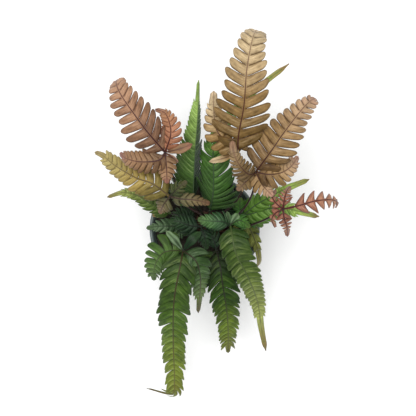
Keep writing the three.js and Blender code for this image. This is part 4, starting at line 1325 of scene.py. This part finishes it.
class FERN_OT_stage(bpy.types.Operator):
    """Sets up the pale floor, the softbox, the fill light and the camera straight above"""
    bl_idname = "fern.stage"
    bl_label = "Stage"

    def execute(self, context):
        sizes, scene = context.scene.fern_studio, context.scene
        scene.view_settings.view_transform = "Standard"
        world = bpy.data.worlds.new("studio")
        world.use_nodes = True
        sky = world.node_tree.nodes["Background"]
        sky.inputs["Color"].default_value = (1, 1, 1, 1)
        sky.inputs["Strength"].default_value = sizes.sky
        scene.world = world
        mesh = bpy.data.meshes.new("floor")
        bm = bmesh.new()
        bmesh.ops.create_grid(bm, x_segments=1, y_segments=1, size=sizes.floor_size)
        bm.to_mesh(mesh)
        bm.free()
        mesh.materials.append(paper_material(sizes.floor_colour))
        floor = bpy.data.objects.new("floor", mesh)
        scene.collection.objects.link(floor)
        lamp = bpy.data.lights.new("softbox", "AREA")
        lamp.shape = "SQUARE"
        lamp.size = sizes.softbox
        lamp.energy = sizes.power
        key = bpy.data.objects.new("softbox", lamp)
        key.location = SOFTBOX_AT
        key.rotation_euler = (Vector(SOFTBOX_AIM) - key.location).to_track_quat("-Z", "Y").to_euler()
        key.visible_camera = False
        scene.collection.objects.link(key)
        lens = bpy.data.cameras.new("from above")
        lens.lens = sizes.lens
        lens.clip_start = 0.01
        camera = bpy.data.objects.new("from above", lens)
        camera.location = (*CAMERA_OVER, sizes.camera_height)
        scene.collection.objects.link(camera)
        scene.camera = camera
        return {"FINISHED"}


class FERN_OT_pot(bpy.types.Operator):
    """Builds the round nursery pot with its lip and drain holes"""
    bl_idname = "fern.pot"
    bl_label = "Pot"

    def execute(self, context):
        sizes = context.scene.fern_pot
        shell = pot_bmesh(sizes.rim_radius / MM, sizes.base_radius / MM, sizes.height / MM)
        piece_of("pot_shell", [shell], [plastic_material(sizes.plastic)], "pot")
        return {"FINISHED"}


class FERN_OT_soil(bpy.types.Operator):
    """Fills the pot with potting mix and strews crumbs of peat and bark on it"""
    bl_idname = "fern.soil"
    bl_label = "Soil"

    def execute(self, context):
        pot, sizes = context.scene.fern_pot, context.scene.fern_soil
        walls = (pot.rim_radius / MM, pot.base_radius / MM, pot.height / MM)
        edge = inner_radius(SOIL_TOP, *walls) - GAP
        low = inner_radius(POT_FLOOR + GAP, *walls) - POT_EDGE - GAP
        parts = [soil_bmesh(edge, low), crumbs_bmesh(edge, sizes.crumbs, random.Random(CRUMB_SEED))]
        piece_of("soil_surface", parts, [soil_material(sizes.peat)], "soil")
        return {"FINISHED"}


class FERN_OT_rhizome(bpy.types.Operator):
    """Builds the scaly crown of the rhizome that the stipes rise from"""
    bl_idname = "fern.rhizome"
    bl_label = "Rhizome"

    def execute(self, context):
        sizes = context.scene.fern_soil
        parts = [crown_bmesh(), scales_bmesh(sizes.scales, random.Random(SCALE_SEED))]
        piece_of("rhizome_crown", parts, [scale_material(sizes.chestnut)], "rhizome")
        return {"FINISHED"}


class FERN_OT_bronze_fronds(bpy.types.Operator):
    """Builds the tall bronze fronds, whose lobes stand apart"""
    bl_idname = "fern.bronze_fronds"
    bl_label = "Bronze fronds"

    def execute(self, context):
        build_fronds("bronze", context.scene.fern_leaf)
        return {"FINISHED"}


class FERN_OT_red_frond(bpy.types.Operator):
    """Builds the young frond, which is still brownish red"""
    bl_idname = "fern.red_frond"
    bl_label = "Young red frond"

    def execute(self, context):
        build_fronds("red", context.scene.fern_leaf)
        return {"FINISHED"}


class FERN_OT_olive_fronds(bpy.types.Operator):
    """Builds the olive fronds, which are turning from bronze to green"""
    bl_idname = "fern.olive_fronds"
    bl_label = "Olive fronds"

    def execute(self, context):
        build_fronds("olive", context.scene.fern_leaf)
        return {"FINISHED"}


class FERN_OT_green_fronds(bpy.types.Operator):
    """Builds the long green fronds, whose lobes lie close together like shingles"""
    bl_idname = "fern.green_fronds"
    bl_label = "Green fronds"

    def execute(self, context):
        build_fronds("green", context.scene.fern_leaf)
        return {"FINISHED"}


class FERN_OT_shade_fronds(bpy.types.Operator):
    """Builds the short dark fronds in the middle of the plant"""
    bl_idname = "fern.shade_fronds"
    bl_label = "Shade fronds"

    def execute(self, context):
        build_fronds("shade", context.scene.fern_leaf)
        return {"FINISHED"}


class FERN_PT_panel(bpy.types.Panel):
    """The fern's pieces and their sizes"""
    bl_idname = "FERN_PT_panel"
    bl_label = "Tricolor brake fern"
    bl_space_type = "VIEW_3D"
    bl_region_type = "UI"
    bl_category = "Fern"

    def draw(self, context):
        groups = [
            ("fern_studio", [FERN_OT_stage]), ("fern_pot", [FERN_OT_pot]),
            ("fern_soil", [FERN_OT_soil, FERN_OT_rhizome]),
            ("fern_leaf", [
                FERN_OT_bronze_fronds, FERN_OT_red_frond, FERN_OT_olive_fronds, FERN_OT_green_fronds,
                FERN_OT_shade_fronds]),
        ]
        for group, operators in groups:
            box = self.layout.box()
            sizes = getattr(context.scene, group)
            for field in sizes.bl_rna.properties:
                if field.identifier not in ("name", "rna_type"):
                    box.prop(sizes, field.identifier)
            for operator in operators:
                box.operator(operator.bl_idname)


CLASSES = (
    FernPotSizes, FernSoilSizes, FernLeafSizes, FernStudioSizes, FERN_OT_stage, FERN_OT_pot, FERN_OT_soil,
    FERN_OT_rhizome, FERN_OT_bronze_fronds, FERN_OT_red_frond, FERN_OT_olive_fronds, FERN_OT_green_fronds,
    FERN_OT_shade_fronds, FERN_PT_panel)


def register():
    for kind in CLASSES:
        bpy.utils.register_class(kind)
    bpy.types.Scene.fern_pot = PointerProperty(type=FernPotSizes)
    bpy.types.Scene.fern_soil = PointerProperty(type=FernSoilSizes)
    bpy.types.Scene.fern_leaf = PointerProperty(type=FernLeafSizes)
    bpy.types.Scene.fern_studio = PointerProperty(type=FernStudioSizes)


def unregister():
    del bpy.types.Scene.fern_studio
    del bpy.types.Scene.fern_leaf
    del bpy.types.Scene.fern_soil
    del bpy.types.Scene.fern_pot
    for kind in reversed(CLASSES):
        bpy.utils.unregister_class(kind)


def main():
    register()
    bpy.ops.fern.stage()
    bpy.ops.fern.pot()
    bpy.ops.fern.soil()
    bpy.ops.fern.rhizome()
    bpy.ops.fern.bronze_fronds()
    bpy.ops.fern.red_frond()
    bpy.ops.fern.olive_fronds()
    bpy.ops.fern.green_fronds()
    bpy.ops.fern.shade_fronds()


if __name__ == "__main__":
    main()
